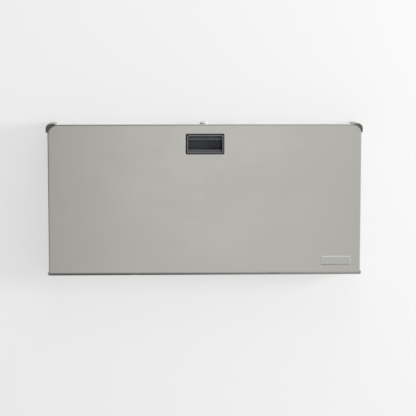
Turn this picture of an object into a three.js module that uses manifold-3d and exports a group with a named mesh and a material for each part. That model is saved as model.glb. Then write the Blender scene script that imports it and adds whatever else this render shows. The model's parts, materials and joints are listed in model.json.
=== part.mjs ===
// Wall-mounted horizontal baby changing station, closed.
// Millimetres, +Z up. The origin is the middle of the back plate's rear face: the wall is the
// plane y = 0, the front panel faces -Y, and +X is to the right of someone facing the station.

import * as THREE from "three";
import { mergeVertices } from "three/addons/utils/BufferGeometryUtils.js";
import Module from "manifold-3d";

const wasm = await Module();
wasm.setup();

// Overall sizes and sheet thicknesses
const PANEL_W = 892; // front panel, across
const PANEL_H = 431; // front panel, rolled lower edge included
const CASE_PROUD = 1; // side panels past the front panel's edges
const DEPTH = 102; // wall to the front panel's face
const PANEL_DEPTH = 12; // front face to the back of the panel's returns
const PANEL_SHEET = 1.2;
const CASE_SHEET = 1.5;
const DOOR_GAP = 2; // panel's returns to the case's front edges
const FIT = 0.3; // clearance between pieces that touch
const EDGE = 1; // chamfer on turned pieces
const FLATNESS = 0.005; // a line that bends less between two points is straight

// Steps along a curve: a large round, an eye, a small pin and a corner; and round a turned piece
const ROUND_STEPS = 10;
const EYE_STEPS = 8;
const PIN_STEPS = 6;
const CORNER_STEPS = 3;
const TURNED_STEPS = 20;
const SLOPE_STEPS = 6; // down each slope of the tray

// Front panel
const PANEL_CORNER_R = 27;
const PANEL_BEND_R = 3;

// Bed hinge along the bottom
const HINGE_ROD_R = 4;
const KNUCKLE_X = 200; // case knuckles, left and right of the middle
const KNUCKLE_W = 24;
const KNUCKLE_GAP = 0.5;
const LUG_GAP = 1; // roll's ends to the side panels' lugs
const LEAF_L = 38;
const LEAF_T = 1.5;
const END_CAP_T = 1; // closed end of the rod's cap
const END_CAP_GRIP = 0.6; // depth of rod held in the cap

// Case
const TOP_LIP_H = 8; // lip along the top panel's front edge
const BOLT_R = 4.5;
const BOLT_X = 203.2; // wall studs are 406.4 apart
const BOLT_IN = 35.5; // case's top and foot to the outer bolts

// Corner caps
const CAP_LEG = 27;
const CAP_R = 14;
const CAP_PROUD_SIDE = 5;
const CAP_PROUD_TOP = 3;
const CAP_LIP = 1.2; // front of the cap ahead of the case's edges
const CAP_HOLLOW_R = 16; // inner round of the web across the cap's front

// Pull handle
const HANDLE_W = 110;
const HANDLE_H = 59;
const HANDLE_DROP = 55; // panel's top edge to the handle's middle
const HANDLE_CORNER_R = 4;
const BEZEL_T = 2.5;
const BEZEL_RIM = 6.5; // width of the bezel round the recess
const BEZEL_BEVEL = 1.2;
const CUP_WALL = 2.5;
const CUP_DEPTH = 22;
const CUP_SLOPE_H = 9; // height of the slope at the recess's foot
const CUP_SLOPE_RUN = 9; // depth over which it rises
const LIP_H = 12; // finger lip, down from the recess's roof
const LIP_SET_BACK = 3;
const LIP_T = 4;

// Name plate
const PLATE_W = 86;
const PLATE_H = 26;
const PLATE_T = 2;
const PLATE_IN = 71; // panel's right edge to the plate's middle
const PLATE_RISE = 41; // lower edge of the panel to the plate's middle
const PLATE_CORNER_R = 2;

// Bed tray
const TRAY_WALL = 3.5;
const TRAY_FLANGE = 18; // flange past the tub's ends
const TRAY_FLANGE_END = 6; // flange past the tub's top and foot
const TRAY_EDGE = 10; // flange's edge to the panel's sides and top
const TRAY_FOOT = 10; // hinge axis to the tray's foot
const RIM_H = 44;
const RIM_W = 22;
const WALL_RUN = 5; // lean of the tub's outer wall
const BOWL_D = 33;
const END_SLOPE = 70;
const TOP_SLOPE = 80;
const LOW_SLOPE = 45;

// Tray screws and bin screws
const SCREW_R = 2;
const SCREW_HEAD_R = 4.5;
const SCREW_HEAD_T = 2.5;
const TRAY_SCREWS = 3; // on each side

// Hat stiffeners between panel and tray
const HAT_X = 150;
const HAT_W = 40;
const HAT_FLANGE = 12;
const HAT_END = 16; // tub's top and foot to the stiffener's ends

// Gas struts
const STRUT_TO_SIDE = 12; // strut's middle to the side panel's inner face
const STRUT_TOP_OUT = 18.5; // upper pivot from the wall
const STRUT_TOP_DROP = 45.5; // upper pivot below the case's top
const STRUT_FOOT_BACK = 34; // lower pivot behind the hinge axis
const STRUT_FOOT_RISE = 50; // lower pivot above the hinge axis
const STUD_R = 4;
const EYE_R = 9;
const EYE_W = 10;
const CYLINDER_R = 8;
const CYLINDER_WALL = 1.5;
const ROD_SHOWN = 89; // rod between the cylinder and the lower eye's neck
const GLAND_L = 10;
const NECK_L = 14; // pivot to the cylinder's end, and rod's eye to the thick part
const ROD_R = 4;
const ROD_TAIL = 80; // rod and piston inside the cylinder
const PISTON_L = 8;
const BRACKET_T = 2;
const UPPER_BRACKET_W = 24;
const UPPER_BRACKET_H = 44;
const STUD_HEAD_R = 6;
const STUD_HEAD_T = 1.5;
const FOOT_L = 36;
const FOOT_W = 14;
const UPRIGHT_W = 18;

// Strap and cam buckle
const STRAP_W = 38;
const STRAP_T = 1.8;
const STRAP_LIFT = 0.7; // under the strap where it lies on the tray
const STRAP_HUMP = 6; // slack in each half
const STRAP_TAIL = 34; // free end past the buckle
const STRAP_FOLD = 20; // sewn end folded back on itself
const STRAP_STEP = 2.6; // between points along the strap
const ANCHOR_INSET = 14; // end of the tray's flat floor to the anchor's middle
const ANCHOR_W = 54;
const ANCHOR_H = 18;
const ANCHOR_T = 3;
const SLOT_CLEAR = 1.2;
const BUCKLE_L = 44;
const BUCKLE_CHEEK = 3;
const BUCKLE_SIDE_GAP = 2;
const BUCKLE_PLATE_T = 2;
const BUCKLE_BAR = 4;
const BUCKLE_SLOT = 5;
const BUCKLE_DROP = 22; // upper end of the buckle to its pin
const BUCKLE_PIN_R = 1.8;
const CAM_HUB_R = 4.2;
const CAM_NOSE_R = 5.6;
const LEVER_L = 32;
const LEVER_BEND = 23; // pin to the lever's turned-up tip
const LEVER_T = 3;

// Liner bin behind the bed
const BIN_MARGIN = 15; // bin past each end of the hatch
const BIN_CLEAR = 7; // bin's front to the bed's rim
const BIN_TOP_GAP = 10.5; // case's top to the bin's mouth
const BIN_H = 250;
const BIN_WALL = 3;
const BIN_FLANGE = 15;
const BIN_SLOT_W = 220;
const BIN_SLOT_H = 30;
const BIN_SLOT_RISE = 7;
const BIN_SCREW_IN = 25; // bin's ends to its screws
const CATCH_W = 30;
const CATCH_H = 4;
const CATCH_D = 4.5;

// Refill hatch in the case's top
const HATCH_W = 300;
const HATCH_BACK = 6.5; // wall to the lid's rear edge
const HATCH_GAP = 0.5; // round the lid
const HATCH_LEDGE = 4.5; // ledge under the lid's front and ends
const HATCH_FRAME_RIM = 9;
const HATCH_FRAME_T = 2;
const HATCH_PIN_R = 1;
const HATCH_KNUCKLE_WALL = 1;
const HATCH_HINGE_IN = 40; // lid's ends to the hinges' middles
const HATCH_KNUCKLE_W = 14;
const HATCH_LEAF_H = 16; // leaf down the back plate

// Cam lock in the hatch
const LOCK_HEAD_R = 13;
const LOCK_HEAD_T = 4.5;
const LOCK_BODY_R = 8;
const LOCK_L = 16;
const LOCK_PLUG_R = 6;
const LOCK_NUT_R = 12.7;
const LOCK_NUT_T = 3;
const NUT_SIDES = 6;
const KEY_SLOT_W = 1.6;
const KEY_SLOT_L = 7;
const KEY_SLOT_D = 4;
const CAM_STUB_R = 3;
const CAM_T = 2;
const CAM_W = 10;
const CAM_CLEAR = 3; // cam's tip to the bin's front wall

// Bag hooks and bumpers on the back plate
const HOOK_IN = 155.5; // side panel to the hook's middle
const HOOK_DROP = 65.5; // case's top to the hook's middle
const HOOK_BASE_W = 24;
const HOOK_BASE_H = 54;
const HOOK_BASE_T = 3;
const HOOK_W = 12;
const HOOK_T = 7;
const HOOK_GAP = 26; // plate to the hook's tip
const HOOK_TIP = 24;
const BUMPER_IN = 58; // tub's end to the bumper's middle
const BUMPER_R = 8;
const BUMPER_EDGE = 2.5; // chamfer round its tip
const BUMPER_BASE_R = 11;
const BUMPER_BASE_T = 4;

// Places worked out from the sizes
const TOP = PANEL_H / 2;
const BOTTOM = -PANEL_H / 2;
const FRONT = -DEPTH;
const CASE_FRONT = FRONT + PANEL_DEPTH + DOOR_GAP;
const SIDE_OUT = PANEL_W / 2 + CASE_PROUD;
const SIDE_IN = SIDE_OUT - CASE_SHEET;
const BACK_FACE = -CASE_SHEET; // room side of the back plate
const ROLL_R = HINGE_ROD_R + FIT + PANEL_SHEET;
const HINGE_Y = FRONT + ROLL_R;
const HINGE_Z = BOTTOM + ROLL_R;
const ROLL_X = Math.min(PANEL_W / 2, SIDE_IN - LUG_GAP); // roll's ends
const CAP_SIDE = SIDE_OUT + CAP_PROUD_SIDE;
const CAP_TOP = TOP + CAP_PROUD_TOP;
const SHEET_END_X = CAP_SIDE - CAP_R; // top panel stops inside the caps
const SHEET_END_Z = CAP_TOP - CAP_R; // side panels stop inside the caps
const PANEL_INNER = FRONT + PANEL_SHEET;
const TRAY_X = PANEL_W / 2 - TRAY_EDGE;
const TRAY_TOP = TOP - TRAY_EDGE;
const TRAY_LOW = HINGE_Z + TRAY_FOOT;
const TUB_X = TRAY_X - TRAY_FLANGE;
const TUB_TOP = TRAY_TOP - TRAY_FLANGE_END;
const TUB_LOW = TRAY_LOW + TRAY_FLANGE_END;
const FLANGE_UNDER = PANEL_INNER + FIT;
const FLANGE_TOP = FLANGE_UNDER + TRAY_WALL;
const RIM_Y = FLANGE_TOP + RIM_H;
const FLOOR_Y = RIM_Y - BOWL_D;
const HANDLE_Z = TOP - HANDLE_DROP;
const THROUGH = DEPTH; // length of a cut that goes right through
const SIDES = [["left", -1], ["right", 1]];

// Flat outlines

function outline(points) {
  return new THREE.Shape(points.map(([u, v]) => new THREE.Vector2(u, v)));
}

function disc(u, v, radius) {
  return new THREE.Shape().absarc(u, v, radius, 0, 2 * Math.PI, false);
}

function ring(u, v, outer, inner) {
  const shape = disc(u, v, outer);
  shape.holes.push(new THREE.Path().absarc(u, v, inner, 0, 2 * Math.PI, true));
  return shape;
}

function roundRect(u, v, width, height, radius) {
  const w = width / 2 - radius;
  const h = height / 2 - radius;
  const shape = new THREE.Shape();
  shape.absarc(u + w, v + h, radius, 0, Math.PI / 2, false);
  shape.absarc(u - w, v + h, radius, Math.PI / 2, Math.PI, false);
  shape.absarc(u - w, v - h, radius, Math.PI, 1.5 * Math.PI, false);
  shape.absarc(u + w, v - h, radius, 1.5 * Math.PI, 2 * Math.PI, false);
  return shape;
}

// The points of a line that stand off the straight way between their neighbours, and its two ends.
function bent(points) {
  return points.filter((point, i) => {
    if (i === 0 || i === points.length - 1) {
      return true;
    }
    const across = points[i + 1].clone().sub(points[i - 1]).normalize();
    return Math.abs(point.clone().sub(points[i - 1]).cross(across)) > FLATNESS;
  });
}

// A band of even thickness along a line of points.
function band(points, thickness) {
  const half = thickness / 2;
  const upper = [];
  const lower = [];
  points.forEach((point, i) => {
    const ahead = points[Math.min(i + 1, points.length - 1)];
    const behind = points[Math.max(i - 1, 0)];
    const along = ahead.clone().sub(behind).normalize();
    const across = new THREE.Vector2(-along.y, along.x).multiplyScalar(half);
    upper.push(point.clone().add(across));
    lower.push(point.clone().sub(across));
  });
  return new THREE.Shape(upper.concat(lower.reverse()));
}

// Solids, joins and cuts

function solid(geometry) {
  const bare = geometry.clone();
  bare.deleteAttribute("normal");
  bare.deleteAttribute("uv");
  const merged = mergeVertices(bare, 1e-4);
  const triVerts = new Uint32Array(merged.index.array);
  const vertProperties = new Float32Array(merged.attributes.position.array);
  return new wasm.Manifold(new wasm.Mesh({ numProp: 3, vertProperties, triVerts }));
}

function joined(...bodies) {
  return bodies.reduce((whole, body) => whole.add(body));
}

function cut(body, ...tools) {
  return tools.reduce((rest, tool) => rest.subtract(tool), body);
}

function box([x0, x1], [y0, y1], [z0, z1]) {
  const geometry = new THREE.BoxGeometry(x1 - x0, y1 - y0, z1 - z0);
  geometry.translate((x0 + x1) / 2, (y0 + y1) / 2, (z0 + z1) / 2);
  return solid(geometry);
}

// A range about a middle, and a range on the left (-1) or right (1) side.
function about(middle, width) {
  return [middle - width / 2, middle + width / 2];
}

function beside(sign, near, far) {
  return sign > 0 ? [near, far] : [-far, -near];
}

// A shape carried along an axis. Its own axes are (y, z) along x, (x, z) along y and (x, y) along z.
const X = new THREE.Vector3(1, 0, 0);
const Y = new THREE.Vector3(0, 1, 0);
const Z = new THREE.Vector3(0, 0, 1);
const CARRY = {
  x: new THREE.Matrix4().makeBasis(Y, Z, X),
  y: new THREE.Matrix4().makeBasis(X, Z, Y.clone().negate()),
  z: new THREE.Matrix4().makeBasis(X, Y, Z),
};

function prism(axis, shape, [low, high], steps = CORNER_STEPS, bevel = 0) {
  const depth = high - low - 2 * bevel;
  const settings = { depth, curveSegments: steps, bevelEnabled: bevel > 0 };
  settings.bevelSize = bevel;
  settings.bevelThickness = bevel;
  settings.bevelOffset = -bevel;
  settings.bevelSegments = CORNER_STEPS;
  const geometry = new THREE.ExtrudeGeometry(shape, settings);
  geometry.translate(0, 0, axis === "y" ? bevel - high : bevel + low);
  geometry.applyMatrix4(CARRY[axis]);
  return solid(geometry);
}

// A turned piece on the z axis, from (radius, height) points that go from the foot up.
function turned(points, steps = TURNED_STEPS) {
  const profile = points.map(([radius, height]) => new THREE.Vector2(radius, height));
  const geometry = new THREE.LatheGeometry(profile, steps);
  geometry.rotateX(Math.PI / 2);
  return solid(geometry);
}

// The scene graph

const station = new THREE.Group();
const caseGroup = new THREE.Group();
const bedGroup = new THREE.Group();
const hatchGroup = new THREE.Group();
const lockGroup = new THREE.Group();
station.add(caseGroup, bedGroup, hatchGroup);
hatchGroup.add(lockGroup);

const FINISH = {
  brushedSteel: { color: 0xb9b6b0, roughness: 0.38, metalness: 1 },
  caseSteel: { color: 0xb4b3ae, roughness: 0.42, metalness: 1 },
  darkPlastic: { color: 0x45474b, roughness: 0.5, metalness: 0 },
  greyPlastic: { color: 0xc4c6c6, roughness: 0.55, metalness: 0 },
  plateMetal: { color: 0xb5b4b0, roughness: 0.3, metalness: 1 },
  zinc: { color: 0xa9abad, roughness: 0.35, metalness: 1 },
  blackSteel: { color: 0x1c1d1f, roughness: 0.35, metalness: 0.4 },
  chrome: { color: 0xd6d8da, roughness: 0.12, metalness: 1 },
  rubber: { color: 0x232425, roughness: 0.85, metalness: 0 },
  webbing: { color: 0x3b4148, roughness: 0.9, metalness: 0 },
};

function piece(group, name, body, finish) {
  const data = body.getMesh();
  const geometry = new THREE.BufferGeometry();
  geometry.setAttribute("position", new THREE.BufferAttribute(data.vertProperties.slice(), 3));
  geometry.setIndex(new THREE.BufferAttribute(data.triVerts.slice(), 1));
  geometry.computeVertexNormals();
  const mesh = new THREE.Mesh(geometry, new THREE.MeshStandardMaterial(FINISH[finish]));
  mesh.name = name;
  group.add(mesh);
}

// Case: back plate, side panels with hinge lugs, top and bottom panels

function backPlate() {
  const width = 2 * (SIDE_IN - FIT);
  const height = PANEL_H - 2 * (CASE_SHEET + FIT);
  const plate = box(about(0, width), [BACK_FACE, 0], about(0, height));
  const rows = [BOTTOM + BOLT_IN, 0, TOP - BOLT_IN];
  const holes = [-BOLT_X, BOLT_X].flatMap((x) => rows.map((z) => prism("y",
    disc(x, z, BOLT_R), about(BACK_FACE, 4 * CASE_SHEET), PIN_STEPS)));
  piece(caseGroup, "back_plate", cut(plate, ...holes), "caseSteel");
}

function sidePanel(side, sign) {
  const shape = new THREE.Shape();
  shape.moveTo(0, BOTTOM);
  shape.lineTo(0, SHEET_END_Z);
  shape.lineTo(CASE_FRONT, SHEET_END_Z);
  shape.lineTo(CASE_FRONT, HINGE_Z + ROLL_R);
  shape.absarc(HINGE_Y, HINGE_Z, ROLL_R, Math.PI / 2, 1.5 * Math.PI, false);
  const hole = new THREE.Path().absarc(HINGE_Y, HINGE_Z, HINGE_ROD_R + FIT, 0, 2 * Math.PI, true);
  shape.holes.push(hole);
  const body = prism("x", shape, beside(sign, SIDE_IN, SIDE_OUT), ROUND_STEPS);
  piece(caseGroup, `side_panel_${side}`, body, "caseSteel");
}

function topPanel() {
  const across = [-SHEET_END_X, SHEET_END_X];
  const lid = about(0, HATCH_W + 2 * HATCH_GAP);
  const opening = box(lid, [HATCH_FRONT - HATCH_GAP, BACK_FACE], about(TOP, THROUGH));
  const plate = box(across, [CASE_FRONT, 0], [TOP - CASE_SHEET, TOP]);
  const lip = box(across, [CASE_FRONT, CASE_FRONT + CASE_SHEET], [TOP - TOP_LIP_H, TOP]);
  piece(caseGroup, "top_panel", cut(joined(plate, lip), opening), "caseSteel");
}

function bottomPanel() {
  const half = SIDE_IN - FIT;
  const plate = box([-half, half], [CASE_FRONT, 0], [BOTTOM, BOTTOM + CASE_SHEET]);
  piece(caseGroup, "bottom_panel", plate, "caseSteel");
}

// Corner cap: an L round the ends of the top and side sheets, with a solid corner between them and a
// web across its front that closes the view past the front panel's round corner.

function capOutside() {
  const topNose = CAP_PROUD_TOP - FIT;
  const sideNose = CAP_PROUD_SIDE - FIT;
  const shape = new THREE.Shape();
  shape.moveTo(CAP_SIDE - CAP_LEG, TOP + FIT);
  shape.absarc(CAP_SIDE - CAP_LEG + topNose, TOP + FIT, topNose, Math.PI, Math.PI / 2, true);
  shape.absarc(CAP_SIDE - CAP_R, CAP_TOP - CAP_R, CAP_R, Math.PI / 2, 0, true);
  shape.absarc(CAP_SIDE - sideNose, CAP_TOP - CAP_LEG + sideNose, sideNose, 0, -Math.PI / 2, true);
  return shape;
}

function cornerCap(side, sign) {
  const front = CASE_FRONT - CAP_LIP;
  const mirrored = (shape) => outline(shape.getPoints(CORNER_STEPS)
    .map((point) => [sign * point.x, point.y]));
  const corner = capOutside();
  corner.lineTo(SIDE_OUT + FIT, SHEET_END_Z + FIT);
  corner.lineTo(SHEET_END_X + FIT, SHEET_END_Z + FIT);
  corner.lineTo(SHEET_END_X + FIT, TOP + FIT);
  const web = capOutside();
  web.absarc(CAP_SIDE - CAP_LEG, CAP_TOP - CAP_LEG, CAP_HOLLOW_R, 0, Math.PI / 2, false);
  const cap = joined(prism("y", mirrored(corner), [front, 0]),
    prism("y", mirrored(web), [front, CASE_FRONT - FIT]));
  const plateCorner = box([-SIDE_IN, SIDE_IN], [BACK_FACE - FIT, THROUGH], [BOTTOM, TOP - CASE_SHEET]);
  piece(caseGroup, `corner_cap_${side}`, cut(cap, plateCorner), "darkPlastic");
}

// Bed hinge: rod, the case's half knuckles behind it, and end caps

function hingeRod() {
  const half = SIDE_OUT + FIT + END_CAP_GRIP;
  const rod = prism("x", disc(HINGE_Y, HINGE_Z, HINGE_ROD_R), [-half, half], ROUND_STEPS);
  piece(caseGroup, "hinge_rod", rod, "zinc");
}

function hingeBore(across) {
  return prism("x", disc(HINGE_Y, HINGE_Z, HINGE_ROD_R + FIT), across, ROUND_STEPS);
}

function hingeBracket(side, sign) {
  const across = about(sign * KNUCKLE_X, KNUCKLE_W);
  const knuckle = prism("x", disc(HINGE_Y, HINGE_Z, ROLL_R), across, ROUND_STEPS);
  const frontHalf = box(about(0, PANEL_W), [FRONT - THROUGH, HINGE_Y + KNUCKLE_GAP],
    about(HINGE_Z, THROUGH));
  const leafLow = BOTTOM + CASE_SHEET + FIT;
  const leaf = box(across, [HINGE_Y, HINGE_Y + ROLL_R + LEAF_L], [leafLow, leafLow + LEAF_T]);
  const bore = hingeBore(about(0, PANEL_W));
  piece(caseGroup, `hinge_bracket_${side}`, cut(joined(knuckle, leaf), bore, frontHalf), "caseSteel");
}

function hingeEndCap(side, sign) {
  const near = SIDE_OUT + FIT;
  const far = near + END_CAP_GRIP + FIT + END_CAP_T;
  const cap = prism("x", disc(HINGE_Y, HINGE_Z, ROLL_R), beside(sign, near, far), ROUND_STEPS);
  const bore = hingeBore(beside(sign, near - END_CAP_GRIP, far - END_CAP_T));
  piece(caseGroup, `hinge_end_cap_${side}`, cut(cap, bore), "darkPlastic");
}

// Front panel: a shallow pan, open at the foot, with its lower edge rolled round the hinge rod. The roll
// stops for the case's knuckles, behind the face, and stops short of the side panels' lugs.

function panOutline(inset) {
  const half = PANEL_W / 2 - inset;
  const top = TOP - inset;
  const low = HINGE_Z - PANEL_DEPTH;
  const radius = PANEL_CORNER_R - inset;
  const shape = new THREE.Shape();
  shape.moveTo(-half, low);
  shape.lineTo(half, low);
  shape.absarc(half - radius, top - radius, radius, 0, Math.PI / 2, false);
  shape.absarc(radius - half, top - radius, radius, Math.PI / 2, Math.PI, false);
  return shape;
}

function frontPanel() {
  const wide = [-PANEL_W, PANEL_W];
  const rear = FRONT + PANEL_DEPTH;
  const outer = prism("y", panOutline(0), [FRONT, rear + PANEL_DEPTH], PIN_STEPS, PANEL_BEND_R);
  const inner = prism("y", panOutline(PANEL_SHEET), [PANEL_INNER, rear + 2 * PANEL_DEPTH], PIN_STEPS,
    PANEL_BEND_R - PANEL_SHEET);
  const behind = box(wide, [rear, rear + THROUGH], about(0, 2 * PANEL_H));
  const below = box(wide, about(FRONT, THROUGH), [BOTTOM - PANEL_H, HINGE_Z]);
  const returnEnds = box(wide, [PANEL_INNER, rear + THROUGH], [BOTTOM, HINGE_Z + ROLL_R]);
  const pan = cut(outer, inner, behind, below, returnEnds);

  const roll = prism("x", ring(HINGE_Y, HINGE_Z, ROLL_R, HINGE_ROD_R + FIT), about(0, 2 * ROLL_X),
    ROUND_STEPS);
  const under = BOTTOM - THROUGH;
  const notches = SIDES.flatMap(([, sign]) => {
    const knuckle = about(sign * KNUCKLE_X, KNUCKLE_W + 2 * KNUCKLE_GAP);
    return [
      box(knuckle, [FRONT - THROUGH, rear], [under, HINGE_Z + KNUCKLE_GAP]),
      box(knuckle, [PANEL_INNER, rear], [under, HINGE_Z + ROLL_R + KNUCKLE_GAP]),
      box(beside(sign, ROLL_X, PANEL_W), about(FRONT, THROUGH), [under, HINGE_Z + ROLL_R + LUG_GAP]),
    ];
  });
  const [cupW, cupH] = cupBody();
  const hole = box(about(0, cupW + 2 * FIT), about(FRONT, THROUGH), about(HANDLE_Z, cupH + 2 * FIT));
  piece(bedGroup, "front_panel", cut(joined(pan, roll), ...notches, hole), "brushedSteel");
}

// Pull handle: bezel, cup behind it, and a finger lip that hangs from the recess's roof.
// Depths run back from the panel's face, heights up from the handle's middle.

function cupBody() {
  const width = HANDLE_W - 2 * BEZEL_RIM + 2 * CUP_WALL;
  const height = HANDLE_H - 2 * BEZEL_RIM + 2 * CUP_WALL;
  return [width, height];
}

function handleCup() {
  const [bodyW, bodyH] = cupBody();
  const half = bodyH / 2;
  const roof = half - CUP_WALL;
  const at = (depth, height) => [FRONT + depth, HANDLE_Z + height];
  const bezel = prism("y", roundRect(0, HANDLE_Z, HANDLE_W, HANDLE_H, HANDLE_CORNER_R),
    [FRONT - FIT - BEZEL_T, FRONT + 2 * BEZEL_BEVEL], CORNER_STEPS, BEZEL_BEVEL);
  const flatBack = box(about(0, PANEL_W), [FRONT - FIT, FRONT + THROUGH], about(HANDLE_Z, PANEL_H));
  const back = CUP_DEPTH + CUP_WALL;
  const body = prism("x", outline([
    at(-FIT - BEZEL_T / 2, -half), at(CUP_WALL, -half), at(CUP_WALL + CUP_SLOPE_RUN, -half + CUP_SLOPE_H),
    at(back, -half + CUP_SLOPE_H), at(back, half), at(-FIT - BEZEL_T / 2, half),
  ]), about(0, bodyW));
  const lipBack = LIP_SET_BACK + LIP_T;
  const recess = prism("x", outline([
    at(-THROUGH, -roof), at(0, -roof), at(CUP_SLOPE_RUN, -roof + CUP_SLOPE_H),
    at(CUP_DEPTH, -roof + CUP_SLOPE_H), at(CUP_DEPTH, roof),
    at(lipBack, roof), at(lipBack, roof - LIP_H + LIP_T / 2), at(lipBack - LIP_T / 4, roof - LIP_H),
    at(LIP_SET_BACK + LIP_T / 4, roof - LIP_H), at(LIP_SET_BACK, roof - LIP_H + LIP_T / 2),
    at(LIP_SET_BACK, roof), at(-THROUGH, roof),
  ]), about(0, bodyW - 2 * CUP_WALL));
  piece(bedGroup, "handle_cup", cut(joined(cut(bezel, flatBack), body), recess), "darkPlastic");
}

function namePlate() {
  const x = PANEL_W / 2 - PLATE_IN;
  const shape = roundRect(x, BOTTOM + PLATE_RISE, PLATE_W, PLATE_H, PLATE_CORNER_R);
  piece(bedGroup, "name_plate", prism("y", shape, [FRONT - FIT - PLATE_T, FRONT - FIT]), "plateMetal");
}

// Bed tray: a tub with a leaning outer wall, a flat rim and a hollow that eases down to a flat floor.

function ease(share) {
  const t = THREE.MathUtils.clamp(share, 0, 1);
  return t * t * (3 - 2 * t);
}

function trayHeight(x, z, inset) {
  const fromEnd = TUB_X - Math.abs(x);
  const fromTop = TUB_TOP - z;
  const fromLow = z - TUB_LOW;
  const edge = Math.min(fromEnd, fromTop, fromLow) - inset;
  const wall = RIM_H * THREE.MathUtils.clamp(edge / WALL_RUN, 0, 1);
  const dip = ease((fromEnd - RIM_W) / END_SLOPE) * ease((fromTop - RIM_W) / TOP_SLOPE)
    * ease((fromLow - RIM_W) / LOW_SLOPE);
  return wall - BOWL_D * dip;
}

// Grid lines across the tray from one edge to the other, close together where its skin bends.
function gridLines(low, high, flange, lowSlope, highSlope) {
  const bends = [-flange, 0, TRAY_WALL, WALL_RUN, TRAY_WALL + WALL_RUN, RIM_W];
  const steps = Array.from({ length: SLOPE_STEPS }, (_, i) => (i + 1) / SLOPE_STEPS);
  const fromLow = bends.concat(steps.map((step) => RIM_W + step * lowSlope));
  const fromHigh = bends.concat(steps.map((step) => RIM_W + step * highSlope));
  const lines = fromLow.map((d) => low + d).concat(fromHigh.map((d) => high - d), [(low + high) / 2]);
  return [...new Set(lines)].sort((a, b) => a - b);
}

// A closed shell between two height fields over a grid.
function shell(xs, zs, top, under) {
  const position = [];
  for (const skin of [top, under]) {
    zs.forEach((z) => xs.forEach((x) => position.push(x, skin(x, z), z)));
  }
  const across = xs.length;
  const upper = (row, col) => row * across + col;
  const lower = (row, col) => xs.length * zs.length + upper(row, col);
  const index = [];
  for (let row = 0; row + 1 < zs.length; row += 1) {
    for (let col = 0; col + 1 < across; col += 1) {
      const corners = [[row, col], [row, col + 1], [row + 1, col + 1], [row + 1, col]];
      const [a, b, c, d] = corners.map(([r, k]) => upper(r, k));
      const [e, f, g, h] = corners.map(([r, k]) => lower(r, k));
      index.push(a, c, b, a, d, c, e, f, g, e, g, h);
    }
  }
  const lastRow = zs.length - 1;
  const lastCol = across - 1;
  const border = [
    ...xs.slice(0, -1).map((_, i) => [0, i]),
    ...zs.slice(0, -1).map((_, i) => [i, lastCol]),
    ...xs.slice(0, -1).map((_, i) => [lastRow, lastCol - i]),
    ...zs.slice(0, -1).map((_, i) => [lastRow - i, 0]),
  ];
  border.forEach((here, i) => {
    const next = border[(i + 1) % border.length];
    const [a, b] = [upper(...here), upper(...next)];
    const [c, d] = [lower(...next), lower(...here)];
    index.push(a, b, c, a, c, d);
  });
  const geometry = new THREE.BufferGeometry();
  geometry.setAttribute("position", new THREE.Float32BufferAttribute(position, 3));
  geometry.setIndex(index);
  return solid(geometry);
}

const ANCHORS = [
  ["upper", TUB_TOP - RIM_W - TOP_SLOPE - ANCHOR_INSET],
  ["lower", TUB_LOW + RIM_W + LOW_SLOPE + ANCHOR_INSET],
];
const SLOT_W = STRAP_W + 2 * SLOT_CLEAR;
const SLOT_H = STRAP_T + 2 * SLOT_CLEAR;
const TRAY_SCREW_X = TUB_X + TRAY_FLANGE / 2;

// Tray screws share out the flange above the strut's bracket.
const SCREW_RUN_LOW = HINGE_Z + STRUT_FOOT_RISE + FOOT_L / 2;
const SCREW_PITCH = (TRAY_TOP - SCREW_RUN_LOW) / TRAY_SCREWS;
const TRAY_SCREW_Z = Array.from({ length: TRAY_SCREWS }, (_, i) => SCREW_RUN_LOW + (i + 0.5) * SCREW_PITCH);

function bedTray() {
  const xs = gridLines(-TUB_X, TUB_X, TRAY_FLANGE, END_SLOPE, END_SLOPE);
  const zs = gridLines(TUB_LOW, TUB_TOP, TRAY_FLANGE_END, LOW_SLOPE, TOP_SLOPE);
  const tub = shell(xs, zs, (x, z) => FLANGE_TOP + trayHeight(x, z, 0),
    (x, z) => FLANGE_UNDER + trayHeight(x, z, TRAY_WALL));
  const slots = ANCHORS.map(([, z]) => box(about(0, SLOT_W), about(FLOOR_Y, 4 * TRAY_WALL),
    about(z, SLOT_H)));
  const holes = SIDES.flatMap(([, sign]) => TRAY_SCREW_Z.map((z) => prism("y",
    disc(sign * TRAY_SCREW_X, z, SCREW_R + FIT), about(FLANGE_TOP, 4 * TRAY_WALL), PIN_STEPS)));
  piece(bedGroup, "bed_tray", cut(tub, ...slots, ...holes), "greyPlastic");
}

// Pan-head screw with its head's seat at y. The head faces the wall (1) or the room (-1).
function screw(x, y, z, length, facing) {
  const crown = SCREW_HEAD_T / 2;
  const body = turned([
    [0, -length], [SCREW_R, -length], [SCREW_R, FIT], [SCREW_HEAD_R, FIT],
    [SCREW_HEAD_R, FIT + crown], [SCREW_HEAD_R - crown, FIT + SCREW_HEAD_T], [0, FIT + SCREW_HEAD_T],
  ], 2 * PIN_STEPS);
  return body.rotate([-90 * facing, 0, 0]).translate([x, y, z]);
}

function trayScrews() {
  for (const [side, sign] of SIDES) {
    TRAY_SCREW_Z.forEach((z, i) => {
      const body = screw(sign * TRAY_SCREW_X, FLANGE_TOP, z, TRAY_WALL, 1);
      piece(bedGroup, `tray_screw_${side}_${i + 1}`, body, "zinc");
    });
  }
}

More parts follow.
